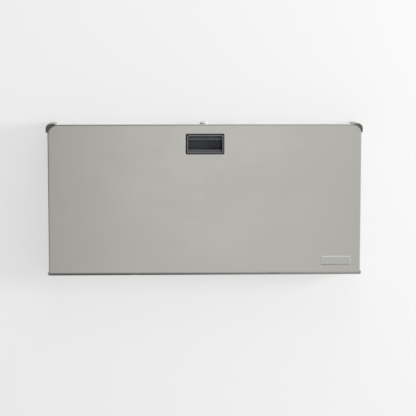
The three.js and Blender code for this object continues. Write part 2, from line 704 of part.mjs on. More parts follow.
// Hat-section stiffener between the panel and the tray's floor
function stiffener(side, sign) {
  const low = PANEL_INNER + FIT;
  const high = FLOOR_Y - TRAY_WALL - FIT;
  const t = PANEL_SHEET;
  const x = sign * HAT_X;
  const foot = HAT_W / 2 + HAT_FLANGE;
  const web = HAT_W / 2;
  const shape = outline([
    [x - foot, low], [x - web + t, low], [x - web + t, high - t], [x + web - t, high - t],
    [x + web - t, low], [x + foot, low], [x + foot, low + t], [x + web, low + t], [x + web, high],
    [x - web, high], [x - web, low + t], [x - foot, low + t],
  ]);
  const length = [TUB_LOW + HAT_END, TUB_TOP - HAT_END];
  piece(bedGroup, `stiffener_${side}`, prism("z", shape, length), "caseSteel");
}

// Gas struts. Each stands on its upper pivot and runs down its own -z axis to the lower one.

const STRUT_X = SIDE_IN - STRUT_TO_SIDE;
const PIVOT_TOP = new THREE.Vector2(-STRUT_TOP_OUT, TOP - STRUT_TOP_DROP);
const PIVOT_FOOT = new THREE.Vector2(HINGE_Y + STRUT_FOOT_BACK, HINGE_Z + STRUT_FOOT_RISE);
const STRUT_RUN = PIVOT_FOOT.clone().sub(PIVOT_TOP);
const STRUT_L = STRUT_RUN.length();
const STRUT_TILT = Math.atan2(STRUT_RUN.x, -STRUT_RUN.y);
const CYLINDER_L = STRUT_L - 2 * NECK_L - ROD_SHOWN;

function strut(side, sign) {
  const group = new THREE.Group();
  group.position.set(sign * STRUT_X, PIVOT_TOP.x, PIVOT_TOP.y);
  group.rotation.x = STRUT_TILT;
  station.add(group);

  const foot = -NECK_L - CYLINDER_L;
  const bore = CYLINDER_R - CYLINDER_WALL;
  const eye = prism("x", disc(0, 0, EYE_R), about(0, EYE_W), EYE_STEPS);
  const tube = turned([
    [0, -NECK_L - CYLINDER_WALL], [bore, -NECK_L - CYLINDER_WALL], [bore, foot + GLAND_L],
    [ROD_R + FIT, foot + GLAND_L], [ROD_R + FIT, foot], [CYLINDER_R - EDGE, foot],
    [CYLINDER_R, foot + EDGE], [CYLINDER_R, -NECK_L - EDGE], [CYLINDER_R - EDGE, -NECK_L],
    [EYE_W / 2, -NECK_L], [EYE_W / 2, -EYE_R / 2], [0, -EYE_R / 2],
  ]);
  const pivotHole = prism("x", disc(0, 0, STUD_R + FIT), about(0, 2 * EYE_W), EYE_STEPS);
  piece(group, `strut_cylinder_${side}`, cut(joined(eye, tube), pivotHole), "blackSteel");

  const socket = prism("x", disc(0, -STRUT_L, EYE_R), about(0, EYE_W), EYE_STEPS);
  const neck = -STRUT_L + NECK_L;
  const rodTop = foot + ROD_TAIL;
  const rod = turned([
    [0, -STRUT_L], [EYE_W / 2, -STRUT_L], [EYE_W / 2, neck], [ROD_R, neck + EDGE],
    [ROD_R, rodTop - PISTON_L], [bore - FIT, rodTop - PISTON_L], [bore - FIT, rodTop], [0, rodTop],
  ]);
  piece(group, `strut_rod_${side}`, joined(socket, rod), "chrome");
}

function strutUpperBracket(side, sign) {
  const face = SIDE_IN - FIT;
  const plateIn = face - BRACKET_T;
  const eyeOut = STRUT_X + EYE_W / 2 + FIT;
  const eyeIn = STRUT_X - EYE_W / 2 - FIT;
  const plate = box(beside(sign, plateIn, face), about(PIVOT_TOP.x, UPPER_BRACKET_W),
    about(PIVOT_TOP.y, UPPER_BRACKET_H));
  const round = (radius, near, far) => prism("x", disc(PIVOT_TOP.x, PIVOT_TOP.y, radius),
    beside(sign, near, far), EYE_STEPS);
  const stud = round(STUD_R, eyeIn - STUD_HEAD_T, face);
  const collar = round(STUD_HEAD_R, eyeOut, face);
  const head = round(STUD_HEAD_R, eyeIn - STUD_HEAD_T, eyeIn);
  piece(caseGroup, `strut_upper_bracket_${side}`, joined(plate, stud, collar, head), "zinc");
}

function strutLowerBracket(side, sign) {
  const seat = FLANGE_TOP + FIT;
  const studEnd = STRUT_X - EYE_W / 2 - FIT;
  const footIn = TUB_X + BRACKET_T;
  const uprightIn = footIn + BRACKET_T;
  const foot = box(beside(sign, footIn, footIn + FOOT_W), [seat, seat + BRACKET_T],
    about(PIVOT_FOOT.y, FOOT_L));
  const upright = box(beside(sign, uprightIn, uprightIn + BRACKET_T), [seat, PIVOT_FOOT.x],
    about(PIVOT_FOOT.y, UPRIGHT_W));
  const round = (radius, near, far) => prism("x", disc(PIVOT_FOOT.x, PIVOT_FOOT.y, radius),
    beside(sign, near, far), EYE_STEPS);
  const crown = round(UPRIGHT_W / 2, uprightIn, uprightIn + BRACKET_T);
  const stud = round(STUD_R, uprightIn, studEnd);
  const collar = round(STUD_HEAD_R, studEnd - STUD_HEAD_T, studEnd);
  piece(bedGroup, `strut_lower_bracket_${side}`, joined(foot, upright, crown, stud, collar), "zinc");
}

// Safety strap in two halves, joined by a cam buckle on the tray's floor.
// Lines of the strap run in the (y, z) plane, from their anchor to the buckle.

const LIE_Y = FLOOR_Y + STRAP_LIFT + STRAP_T / 2; // middle of a strap that lies on the floor
const PLATE_UNDER = LIE_Y + STRAP_T / 2 + STRAP_LIFT;
const PLATE_OVER = PLATE_UNDER + BUCKLE_PLATE_T;
const ON_PLATE_Y = PLATE_OVER + STRAP_T / 2 + 2 * FIT;
const BUCKLE_TOP = (ANCHORS[0][1] + ANCHORS[1][1] + BUCKLE_L) / 2;
const BUCKLE_LOW = BUCKLE_TOP - BUCKLE_L;
const BUCKLE_IN = STRAP_W / 2 + BUCKLE_SIDE_GAP;
const BAR_Z = BUCKLE_TOP - BUCKLE_BAR;
const PIN_Z = BUCKLE_TOP - BUCKLE_DROP;
const PIN_Y = ON_PLATE_Y + STRAP_T / 2 + 2 * FIT + CAM_NOSE_R;

// Out of the tray's slot, over in a tight bend and along the floor with some slack.
function fromAnchor(anchorZ, toward, endZ) {
  const turn = 3 * toward * STRAP_T;
  const over = FLOOR_Y + ANCHOR_T + 2 * STRAP_T;
  const out = anchorZ + turn;
  const middle = (out + endZ) / 2;
  return [
    [FLOOR_Y - TRAY_WALL - STRAP_T, anchorZ], [FLOOR_Y, anchorZ], [FLOOR_Y + ANCHOR_T, anchorZ],
    [over, anchorZ + turn / 2], [over, anchorZ + 1.5 * turn],
    [LIE_Y + STRAP_HUMP, (out + middle) / 2 + turn], [LIE_Y + STRAP_HUMP / 2, middle],
    [LIE_Y, (middle + endZ) / 2], [LIE_Y, endZ],
  ];
}

function strap(name, points) {
  const line = new THREE.SplineCurve(points.map(([y, z]) => new THREE.Vector2(y, z)));
  const steps = Math.round(line.getLength() / STRAP_STEP);
  const shape = band(bent(line.getSpacedPoints(steps)), STRAP_T);
  piece(bedGroup, name, prism("x", shape, about(0, STRAP_W)), "webbing");
}

// The upper half goes under the buckle's bar, up through its slot and back over the bar.
function upperStrap() {
  const slotZ = BAR_Z - BUCKLE_SLOT / 2;
  const over = LIE_Y + STRAP_T + 2 * FIT;
  strap("strap_upper", [
    ...fromAnchor(ANCHORS[0][1], -1, BUCKLE_TOP + STRAP_FOLD), [LIE_Y, BUCKLE_TOP],
    [LIE_Y, BAR_Z], [(LIE_Y + PLATE_UNDER) / 2, slotZ + STRAP_T / 2],
    [(PLATE_UNDER + PLATE_OVER) / 2, slotZ], [(ON_PLATE_Y + PLATE_OVER) / 2, slotZ + STRAP_T / 2],
    [ON_PLATE_Y, BAR_Z], [ON_PLATE_Y, BUCKLE_TOP],
    [over + STRAP_LIFT, BUCKLE_TOP + STRAP_FOLD / 2], [over, BUCKLE_TOP + STRAP_FOLD],
  ]);
}

// The lower half runs over the buckle's plate under the cam, and its free end lies on the upper half.
function lowerStrap() {
  const overFold = ON_PLATE_Y + STRAP_T + 2 * FIT;
  const rise = BUCKLE_LOW - 6 * STRAP_T;
  strap("strap_lower", [
    ...fromAnchor(ANCHORS[1][1], 1, rise),
    [ON_PLATE_Y, BUCKLE_LOW - STRAP_T], [ON_PLATE_Y, BUCKLE_LOW + STRAP_T], [ON_PLATE_Y, PIN_Z],
    [overFold, BAR_Z - BUCKLE_SLOT], [overFold + FIT, BAR_Z], [overFold, BUCKLE_TOP],
    [LIE_Y + 3 * STRAP_T, BUCKLE_TOP + STRAP_FOLD], [LIE_Y + 2 * STRAP_T, BUCKLE_TOP + STRAP_TAIL],
  ]);
}

function strapAnchor([name, z]) {
  const seat = FLOOR_Y + FIT;
  const plate = prism("y", roundRect(0, z, ANCHOR_W, ANCHOR_H, ANCHOR_T), [seat, seat + ANCHOR_T]);
  const slot = box(about(0, SLOT_W), about(FLOOR_Y, 4 * ANCHOR_T), about(z, SLOT_H));
  piece(bedGroup, `strap_anchor_${name}`, cut(plate, slot), "darkPlastic");
}

function buckleRound(radius, across) {
  return prism("x", disc(PIN_Y, PIN_Z, radius), across, PIN_STEPS);
}

function buckleFrame() {
  const out = BUCKLE_IN + BUCKLE_CHEEK;
  const plate = box([-out, out], [PLATE_UNDER, PLATE_OVER], [BUCKLE_LOW, BUCKLE_TOP]);
  const slot = box([-BUCKLE_IN, BUCKLE_IN], about(PLATE_OVER, 4 * BUCKLE_PLATE_T),
    [BAR_Z - BUCKLE_SLOT, BAR_Z]);
  const crown = PIN_Y + CAM_HUB_R;
  const cheek = outline([
    [PLATE_UNDER, BUCKLE_LOW], [PLATE_UNDER, BUCKLE_TOP], [PLATE_OVER + BUCKLE_PLATE_T, BUCKLE_TOP],
    [crown, PIN_Z + CAM_HUB_R], [crown, PIN_Z - CAM_HUB_R], [PLATE_OVER + BUCKLE_PLATE_T, BUCKLE_LOW],
  ]);
  const cheeks = SIDES.map(([, sign]) => prism("x", cheek, beside(sign, BUCKLE_IN, out)));
  const pinHole = buckleRound(BUCKLE_PIN_R + FIT, about(0, 4 * out));
  piece(bedGroup, "buckle_frame", cut(joined(plate, ...cheeks), slot, pinHole), "zinc");
  piece(bedGroup, "buckle_pin", buckleRound(BUCKLE_PIN_R, [-out, out]), "chrome");
}

function buckleCam() {
  const across = about(0, 2 * (BUCKLE_IN - 2 * FIT));
  const hub = buckleRound(CAM_HUB_R, across);
  const nose = buckleRound(CAM_HUB_R, across).translate([0, CAM_HUB_R - CAM_NOSE_R, 0]);
  const face = PIN_Y + CAM_HUB_R;
  const lever = prism("x", outline([
    [face - LEVER_T, PIN_Z], [face - LEVER_T, PIN_Z + LEVER_BEND], [face - LEVER_T / 2, PIN_Z + LEVER_L],
    [face + LEVER_T / 2, PIN_Z + LEVER_L], [face, PIN_Z + LEVER_BEND], [face, PIN_Z],
  ]), across);
  const bore = buckleRound(BUCKLE_PIN_R + FIT, about(0, 4 * BUCKLE_IN));
  piece(bedGroup, "buckle_cam", cut(joined(hub, nose, lever), bore), "zinc");
}

// Liner bin: open at the top and at the back, with a dispensing slot and a catch for the lock's cam.

const BIN_W = HATCH_W + 2 * BIN_MARGIN;
const BIN_FRONT = RIM_Y + BIN_CLEAR;
const BIN_BACK = BACK_FACE - FIT;
const BIN_TOP = TOP - BIN_TOP_GAP;
const BIN_LOW = BIN_TOP - BIN_H;
const BIN_SCREW_X = BIN_W / 2 + BIN_FLANGE / 2;
const CAM_TOP = TOP - LOCK_L - FIT; // the cam hangs below the lock's barrel
const BIN_SCREWS = SIDES.flatMap(([, sign]) => [BIN_LOW + BIN_SCREW_IN, BIN_TOP - BIN_SCREW_IN]
  .map((z) => [sign * BIN_SCREW_X, z]));

function linerBin() {
  const half = BIN_W / 2;
  const outside = box([-half, half], [BIN_FRONT, BIN_BACK], [BIN_LOW, BIN_TOP]);
  const inside = box([BIN_WALL - half, half - BIN_WALL], [BIN_FRONT + BIN_WALL, BIN_BACK + THROUGH],
    [BIN_LOW + BIN_WALL, BIN_TOP + THROUGH]);
  const slotZ = BIN_LOW + BIN_WALL + BIN_SLOT_RISE + BIN_SLOT_H / 2;
  const slot = prism("y", roundRect(0, slotZ, BIN_SLOT_W, BIN_SLOT_H, BIN_SLOT_H / 3),
    about(BIN_FRONT, 4 * BIN_WALL));
  const flanges = SIDES.map(([, sign]) => box(beside(sign, half - BIN_WALL, half + BIN_FLANGE),
    [BIN_BACK - BIN_WALL, BIN_BACK], [BIN_LOW, BIN_TOP]));
  const catchLow = CAM_TOP + 2 * FIT;
  const camCatch = box(about(0, CATCH_W), [BIN_FRONT, BIN_FRONT + BIN_WALL + CATCH_D],
    [catchLow, catchLow + CATCH_H]);
  const holes = BIN_SCREWS.map(([x, z]) => prism("y", disc(x, z, SCREW_R + FIT),
    about(BIN_BACK, 4 * BIN_WALL), PIN_STEPS));
  const body = cut(joined(cut(outside, inside), ...flanges, camCatch), slot, ...holes);
  piece(caseGroup, "liner_bin", body, "greyPlastic");
  BIN_SCREWS.forEach(([x, z], i) => {
    piece(caseGroup, `bin_screw_${i + 1}`, screw(x, BIN_BACK - BIN_WALL, z, BIN_WALL, -1), "zinc");
  });
}

// Refill hatch: lid, the frame it rests on, and two small hinges in the slot behind it.
// The knuckles lie flush with the case's top, and their leaves run down the back plate.

const HATCH_FRONT = BIN_FRONT; // over the bin's mouth
const HATCH_HINGE_X = HATCH_W / 2 - HATCH_HINGE_IN;
const LOCK_OUT = (HATCH_BACK - HATCH_FRONT) / 2; // wall to the lock, in the middle of the lid
const HATCH_KNUCKLE_R = HATCH_PIN_R + FIT + HATCH_KNUCKLE_WALL;
const HATCH_AXIS_Y = BACK_FACE - FIT - HATCH_KNUCKLE_R;
const HATCH_AXIS_Z = TOP - HATCH_KNUCKLE_R;

function hatchFrame() {
  const top = TOP - CASE_SHEET - FIT;
  const inner = HATCH_W / 2 - HATCH_LEDGE;
  const outer = HATCH_W / 2 + HATCH_FRAME_RIM;
  const plate = box([-outer, outer], [HATCH_FRONT - HATCH_FRAME_RIM, BACK_FACE - FIT],
    [top - HATCH_FRAME_T, top]);
  const opening = box([-inner, inner], [HATCH_FRONT + HATCH_LEDGE, THROUGH], about(top, 4 * HATCH_FRAME_T));
  piece(caseGroup, "hatch_frame", cut(plate, opening), "caseSteel");
}

function hatchKnuckle(middle) {
  return hatchRound(HATCH_KNUCKLE_R, about(middle, HATCH_KNUCKLE_W));
}

function hatchRound(radius, across) {
  return prism("x", disc(HATCH_AXIS_Y, HATCH_AXIS_Z, radius), across, PIN_STEPS);
}

function hatchBore() {
  return hatchRound(HATCH_PIN_R + FIT, about(0, PANEL_W));
}

function linerHatch() {
  const lid = box(about(0, HATCH_W), [HATCH_FRONT, -HATCH_BACK], [TOP - CASE_SHEET, TOP]);
  const lockHole = prism("z", disc(0, -LOCK_OUT, LOCK_BODY_R + FIT), about(TOP, THROUGH), ROUND_STEPS);
  const knuckles = SIDES.flatMap(([, sign]) => [-1, 1].map((end) => {
    const middle = sign * HATCH_HINGE_X + end * (HATCH_KNUCKLE_W + KNUCKLE_GAP);
    const web = box(about(middle, HATCH_KNUCKLE_W), [HATCH_FRONT / 2, HATCH_AXIS_Y], [TOP - CASE_SHEET, TOP]);
    return joined(hatchKnuckle(middle), web);
  }));
  const body = cut(joined(lid, ...knuckles), lockHole, hatchBore());
  piece(hatchGroup, "liner_hatch", body, "caseSteel");
}

function hatchHinge(side, sign) {
  const middle = sign * HATCH_HINGE_X;
  const seat = BACK_FACE - FIT;
  const leaf = box(about(middle, HATCH_KNUCKLE_W), [seat - HATCH_KNUCKLE_WALL, seat],
    [TOP - HATCH_LEAF_H, HATCH_AXIS_Z]);
  const body = cut(joined(hatchKnuckle(middle), leaf), hatchBore());
  piece(caseGroup, `hatch_hinge_${side}`, body, "caseSteel");
  const pinL = 3 * HATCH_KNUCKLE_W + 2 * KNUCKLE_GAP;
  piece(caseGroup, `hatch_pin_${side}`, hatchRound(HATCH_PIN_R, about(middle, pinL)), "zinc");
}

// Cam lock through the lid: barrel and nut stay with the lid, plug and cam turn.

function camLock() {
  const barrelLow = TOP - LOCK_L;
  const headTop = TOP + FIT + LOCK_HEAD_T;
  const barrel = turned([
    [LOCK_PLUG_R + FIT, barrelLow], [LOCK_BODY_R, barrelLow], [LOCK_BODY_R, TOP + FIT],
    [LOCK_HEAD_R, TOP + FIT], [LOCK_HEAD_R, headTop - EDGE], [LOCK_HEAD_R - EDGE, headTop],
    [LOCK_PLUG_R + FIT, headTop], [LOCK_PLUG_R + FIT, barrelLow],
  ]);
  piece(hatchGroup, "lock_barrel", barrel.translate([0, -LOCK_OUT, 0]), "darkPlastic");

  const nutTop = TOP - CASE_SHEET - FIT;
  const nut = new THREE.Shape();
  nut.setFromPoints(disc(0, -LOCK_OUT, LOCK_NUT_R).getPoints(NUT_SIDES / 2));
  nut.holes.push(new THREE.Path().absarc(0, -LOCK_OUT, LOCK_BODY_R + FIT, 0, 2 * Math.PI, true));
  piece(hatchGroup, "lock_nut", prism("z", nut, [nutTop - LOCK_NUT_T, nutTop], ROUND_STEPS), "zinc");

  const camLow = CAM_TOP - CAM_T;
  const plug = turned([
    [0, camLow - FIT - CAM_T], [CAM_STUB_R + EDGE, camLow - FIT - CAM_T],
    [CAM_STUB_R + EDGE, camLow - FIT], [CAM_STUB_R, camLow - FIT], [CAM_STUB_R, CAM_TOP],
    [LOCK_PLUG_R, CAM_TOP + FIT], [LOCK_PLUG_R, headTop - FIT], [0, headTop - FIT],
  ]).translate([0, -LOCK_OUT, 0]);
  const keySlot = box(about(0, KEY_SLOT_L), about(-LOCK_OUT, KEY_SLOT_W), [headTop - KEY_SLOT_D, headTop]);
  piece(lockGroup, "lock_plug", cut(plug, keySlot), "zinc");

  const reach = -LOCK_OUT - (BIN_FRONT + BIN_WALL + CAM_CLEAR);
  const hub = prism("z", disc(0, -LOCK_OUT, CAM_W / 2), [camLow, CAM_TOP], EYE_STEPS);
  const arm = box([0, reach], about(-LOCK_OUT, CAM_W), [camLow, CAM_TOP]);
  const hole = prism("z", disc(0, -LOCK_OUT, CAM_STUB_R + FIT), about(CAM_TOP, 4 * CAM_T), EYE_STEPS);
  piece(lockGroup, "lock_cam", cut(joined(hub, arm), hole), "zinc");
}

// Bag hooks and bumpers on the back plate

function bagHook(side, sign) {
  const x = sign * (SIDE_IN - HOOK_IN);
  const z = TOP - HOOK_DROP;
  const seat = BACK_FACE - FIT;
  const face = seat - HOOK_BASE_T;
  const plate = prism("y", roundRect(x, z, HOOK_BASE_W, HOOK_BASE_H, HOOK_BASE_W / 4), [face, seat]);
  const root = z - HOOK_BASE_H / 4;
  const tip = face - HOOK_GAP - HOOK_T;
  const arm = outline([
    [seat - FIT, root - HOOK_T], [seat - FIT, root + HOOK_T / 2], [face - HOOK_T, root],
    [tip + HOOK_T, root], [tip + HOOK_T, root + HOOK_TIP - HOOK_T / 2],
    [tip + HOOK_T / 2, root + HOOK_TIP], [tip, root + HOOK_TIP], [tip, root - HOOK_T / 2],
    [tip + HOOK_T / 2, root - HOOK_T],
  ]);
  piece(caseGroup, `bag_hook_${side}`, joined(plate, prism("x", arm, about(x, HOOK_W))), "darkPlastic");
}

function bumper(side, sign) {
  const length = BACK_FACE - RIM_Y - 2 * FIT;
  const post = turned([
    [0, 0], [BUMPER_BASE_R, 0], [BUMPER_BASE_R, BUMPER_BASE_T], [BUMPER_R, BUMPER_BASE_T + EDGE],
    [BUMPER_R, length - BUMPER_EDGE], [BUMPER_R - BUMPER_EDGE, length], [0, length],
  ]).rotate([90, 0, 0]);
  const x = sign * (TUB_X - BUMPER_IN);
  const z = TUB_TOP - (WALL_RUN + RIM_W) / 2;
  piece(caseGroup, `bumper_${side}`, post.translate([x, BACK_FACE - FIT, z]), "rubber");
}

// Assembly

backPlate();
topPanel();
bottomPanel();
hingeRod();
linerBin();
hatchFrame();
linerHatch();
camLock();
frontPanel();
handleCup();
namePlate();
bedTray();
trayScrews();
upperStrap();
lowerStrap();
ANCHORS.forEach(strapAnchor);
buckleFrame();
buckleCam();
for (const [side, sign] of SIDES) {
  sidePanel(side, sign);
  cornerCap(side, sign);
  hingeBracket(side, sign);
  hingeEndCap(side, sign);
  stiffener(side, sign);
  strut(side, sign);
  strutUpperBracket(side, sign);
  strutLowerBracket(side, sign);
  hatchHinge(side, sign);
  bagHook(side, sign);
  bumper(side, sign);
}

export default station;
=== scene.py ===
"""Dresses a wall-mounted baby changing station: skins, finishes, light and camera round its CAD frame.

Metres, +Z up. The wall is the plane y = 0, the front panel faces -Y, and +X is to the right of someone
who faces the station. The file is laid out as an add-on and is run as a script.
"""

import json
import math

import bmesh
import bpy
import numpy as np
from bpy.props import FloatProperty, FloatVectorProperty, PointerProperty
from mathutils import Matrix, Vector


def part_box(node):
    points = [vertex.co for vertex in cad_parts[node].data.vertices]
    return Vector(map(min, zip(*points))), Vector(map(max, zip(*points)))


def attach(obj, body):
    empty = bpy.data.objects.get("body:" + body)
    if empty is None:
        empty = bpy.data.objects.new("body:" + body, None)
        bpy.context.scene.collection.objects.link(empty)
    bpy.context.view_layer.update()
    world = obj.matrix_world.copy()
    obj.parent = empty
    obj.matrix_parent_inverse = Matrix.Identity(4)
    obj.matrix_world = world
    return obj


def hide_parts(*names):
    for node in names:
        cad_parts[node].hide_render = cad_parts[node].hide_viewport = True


bl_info = {
    "name": "Baby changing station",
    "version": (1, 0, 0),
    "blender": (4, 5, 0),
    "location": "3D View > Sidebar > Changing station",
    "description": "Builds the visible pieces of a wall-mounted baby changing station",
    "category": "Add Mesh",
}

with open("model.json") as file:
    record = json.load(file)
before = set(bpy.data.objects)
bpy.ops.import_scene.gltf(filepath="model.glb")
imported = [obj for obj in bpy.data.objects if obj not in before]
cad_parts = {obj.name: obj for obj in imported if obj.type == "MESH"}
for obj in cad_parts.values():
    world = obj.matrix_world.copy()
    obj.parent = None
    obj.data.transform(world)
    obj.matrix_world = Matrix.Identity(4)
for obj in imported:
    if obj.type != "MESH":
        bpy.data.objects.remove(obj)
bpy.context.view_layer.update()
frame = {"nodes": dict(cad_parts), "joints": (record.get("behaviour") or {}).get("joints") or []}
JOINTS = {joint["name"]: joint for joint in frame["joints"]}
SIDES = (("left", -1), ("right", 1))
MM = 0.001
FIT = 0.3 * MM  # clearance between pieces that touch, as in the CAD model
RIM_STEPS = 5  # rings round a rounded rim
LINE_STEPS = 24  # points worked out between two of a smooth line's own
SHARP = math.radians(40)  # edges that turn more stay sharp
MERGE = 0.002 * MM  # points of a skin that are closer are one
CUP_WALL = 2.5 * MM  # wall of the handle's recess, which fills the panel's hole
MAP = "flat"  # a piece's own UV map, in metres


def linear(hex_colour):
    """sRGB hex to linear light: c / 12.92 up to 0.04045, ((c + 0.055) / 1.055) ** 2.4 above it."""
    srgb = np.array([int(hex_colour[i:i + 2], 16) for i in (0, 2, 4)]) / 255
    light = np.where(srgb <= 0.04045, srgb / 12.92, ((srgb + 0.055) / 1.055) ** 2.4)
    return (*light.tolist(), 1.0)


# Settings


def length(name, description, millimetres):
    """A size that a user may change, given in millimetres and kept in metres."""
    return FloatProperty(name=name, description=description, default=millimetres * MM,
                         min=0.0, precision=5, subtype="DISTANCE", unit="LENGTH")


def colour(name, description, hex_colour):
    """A colour that a user may change, given as sRGB hex."""
    return FloatVectorProperty(name=name, description=description, default=linear(hex_colour),
                               size=4, min=0.0, max=1.0, subtype="COLOR")


class StationSizes(bpy.types.PropertyGroup):
    """Sizes of the skins that the frame's boxes don't give."""

    panel_corner: length("Panel corners", "Radius of the front panel's top corners", 27)
    panel_bend: length("Panel bend", "Outside radius where the panel's face turns into its returns", 3)
    panel_sheet: length("Panel sheet", "Thickness of the front panel", 1.2)
    bezel_rim: length("Handle bezel", "Width of the bezel round the handle's recess", 6.5)
    seal: length("Handle seal", "Width of the rubber seal that shows round the bezel", 3)
    cup_depth: length("Handle depth", "Recess behind the panel's face", 22)
    cap_round: length("Cap edge", "How far back the corner caps' outer front edge is rounded", 4.5)
    cap_rim: length("Cap rim", "Height of the corner caps' raised rim over their web", 2.5)
    tray_wall: length("Tray wall", "Thickness of the moulded tray", 3.5)
    tray_corner: length("Tray corners", "Radius of the tray's corners seen from above", 34)
    strap_width: length("Strap width", "Width of the webbing", 38)
    strap_thickness: length("Strap thickness", "Thickness of the webbing", 1.8)
    thread: length("Thread spacing", "Width of one thread of the webbing as it is drawn", 2.2)
    grain: length("Brushing", "Width of the brushed steel's lines as they are drawn", 1.6)


class StationColours(bpy.types.PropertyGroup):
    """Colours of the finishes."""

    panel: colour("Front panel", "Brushed stainless sheet", "bdbbb6")
    case: colour("Case", "Satin stainless sheet", "c8c7c4")
    # Much lighter than the case's own stainless: painted light on the top sheet, the liner hatch and its hinges
    top: colour("Case top", "Polished stainless sheet", "efeeec")
    caps: colour("Corner caps", "Moulded grey plastic", "5e5e5d")
    handle: colour("Handle", "Moulded dark grey plastic", "23252a")
    # Lighter than the handle's own plastic: painted light on the finger lip and the sill, where light falls into the
    # recess
    lip: colour("Handle lip", "Moulded grey plastic of the finger lip", "3d3f45")
    bezel: colour("Handle bezel", "Darkened chrome on plastic", "808183")
    plate: colour("Name plate", "Brushed aluminium", "b9b9b6")
    # Drawn much lighter than the plate's own aluminium: a painted highlight all round the plate's bevel
    edge: colour("Plate edge", "Diamond-cut aluminium", "e4e4e2")
    tray: colour("Bed tray", "Grey polyethylene", "b9bbbb")
    bin: colour("Liner bin", "Pale polypropylene", "c6c7c5")
    hooks: colour("Hooks and anchors", "Dark nylon", "47494c")
    zinc: colour("Zinc", "Bright zinc plating", "b4b7ba")
    # Drawn darker than the rod's steel: painted shade, so that the rod in the roll's notches carries on the shaded
    # foot of the panel
    rod: colour("Hinge rod", "Oiled steel of the hinge's rod", "7c7b77")
    buckle: colour("Buckle", "Nickel-plated steel", "bdbab4")
    strut: colour("Struts", "Black paint", "1d1e20")
    chrome: colour("Chrome", "Hard chrome", "d9dbdc")
    lock: colour("Lock", "Grey painted zinc casting", "cbcccd")
    rubber: colour("Rubber", "Black rubber of the bumpers and the handle's seal", "121314")
    webbing: colour("Strap", "Woven polypropylene", "3d434b")


# Surfaces: each is its points and its faces, worked out as whole arrays


def quads(rows, columns, round_rows, round_columns):
    """Corner numbers of a grid's quads. A round direction runs from its last line back to its first."""
    row, column = np.meshgrid(np.arange(rows if round_rows else rows - 1),
                              np.arange(columns if round_columns else columns - 1), indexing="ij")
    below = (row + 1) % rows
    beside = (column + 1) % columns
    corners = (row * columns + column, row * columns + beside,
               below * columns + beside, below * columns + column)
    return np.stack(corners, -1).reshape(-1, 4).tolist()


def skin(grid, round_rows=False, round_columns=True, ends=()):
    """Skin over a grid of points (row, column): a quad between neighbours, a flat face over each end row."""
    grid = np.asarray(grid, float)
    rows, columns = grid.shape[:2]
    faces = quads(rows, columns, round_rows, round_columns)
    faces += [list(range(row % rows * columns, (row % rows + 1) * columns)) for row in ends]
    return grid.reshape(-1, 3), faces


def joined(*surfaces):
    """Several surfaces as one, for skins that share their borders."""
    starts = np.cumsum([0] + [len(points) for points, _ in surfaces])
    faces = [[int(start) + corner for corner in face]
             for start, (_, own) in zip(starts, surfaces) for face in own]
    return np.concatenate([points for points, _ in surfaces]), faces


def unit(rows):
    """Each row divided by its own length."""
    return rows / np.linalg.norm(rows, axis=1, keepdims=True)


def quarter(steps):
    """Angles of a quarter turn, from 0 to 90 degrees."""
    return np.linspace(0, math.pi / 2, steps)


def arc(centre, radius, start, stop, steps):
    """Points of a circle from one angle to another in degrees: centre + radius (cos, sin)."""
    angle = np.radians(np.linspace(start, stop, steps))
    return np.asarray(centre) + radius * np.stack([np.cos(angle), np.sin(angle)], -1)


def circle(centre, radius, steps=48):
    """A closed circle: an arc of a full turn without its last point."""
    return arc(centre, radius, 0, 360, steps + 1)[:-1]


def arcs(before, corner, after, radii, steps):
    """An arc at each corner between the points before and after it. It touches both sides r / tan(half angle)
    from the corner, and its points turn evenly from one touch to the other."""
    radius = np.broadcast_to(np.asarray(radii, float), len(corner))[:, None]
    back = unit(before - corner)
    ahead = unit(after - corner)
    half = np.arccos(np.clip((back * ahead).sum(1, keepdims=True), -1, 1)) / 2
    centre = corner + unit(back + ahead) * radius / np.sin(half)
    first = corner + back * radius / np.tan(half) - centre
    last = corner + ahead * radius / np.tan(half) - centre
    turn = (np.pi - 2 * half)[:, :, None]
    share = np.linspace(0, 1, steps)[None, :, None]
    swing = np.sin((1 - share) * turn) * first[:, None] + np.sin(share * turn) * last[:, None]
    return (centre[:, None] + swing / np.sin(turn)).reshape(-1, 2)


def rounded(corners, radii, steps=7):
    """Closed outline with an arc at each corner."""
    corner = np.asarray(corners, float)
    return arcs(np.roll(corner, 1, 0), corner, np.roll(corner, -1, 0), radii, steps)


def softened(profile, radii, steps=5):
    """Open profile with an arc at each corner between its two ends, which are kept."""
    line = np.asarray(profile, float)
    return np.concatenate([line[:1], arcs(line[:-2], line[1:-1], line[2:], radii, steps), line[-1:]])


def rectangle(left, right, low, high, radius, steps=7):
    """A rectangle with rounded corners, from its lower left corner round."""
    return rounded([(left, low), (right, low), (right, high), (left, high)], radius, steps)


def ease(share):
    """0 to 1 along 3 t^2 - 2 t^3."""
    t = np.clip(share, 0, 1)
    return t * t * (3 - 2 * t)


def drawn_in(loop, distance):
    """The loop moved inwards by an even distance d: each point goes d (n1 + n2) / (1 + n1 . n2), where n1 and
    n2 are the normals of its two sides."""
    side = unit(np.roll(loop, -1, 0) - loop)
    normal = np.stack([-side[:, 1], side[:, 0]], -1)
    before = np.roll(normal, 1, 0)
    after = np.roll(loop, -1, 0)
    turn = np.sign(np.sum(loop[:, 0] * after[:, 1] - loop[:, 1] * after[:, 0]))
    return loop + turn * distance * (normal + before) / (1 + (normal * before).sum(1, keepdims=True))


AXES = {"x": [1, 2, 0], "y": [0, 2, 1], "z": [0, 1, 2]}


def stand(loop, axis, height):
    """A flat loop in space at a height along an axis: its own axes are (y, z), (x, z) or (x, y)."""
    points = np.empty((len(loop), 3))
    points[:, AXES[axis][:2]] = loop
    points[:, AXES[axis][2]] = height
    return points


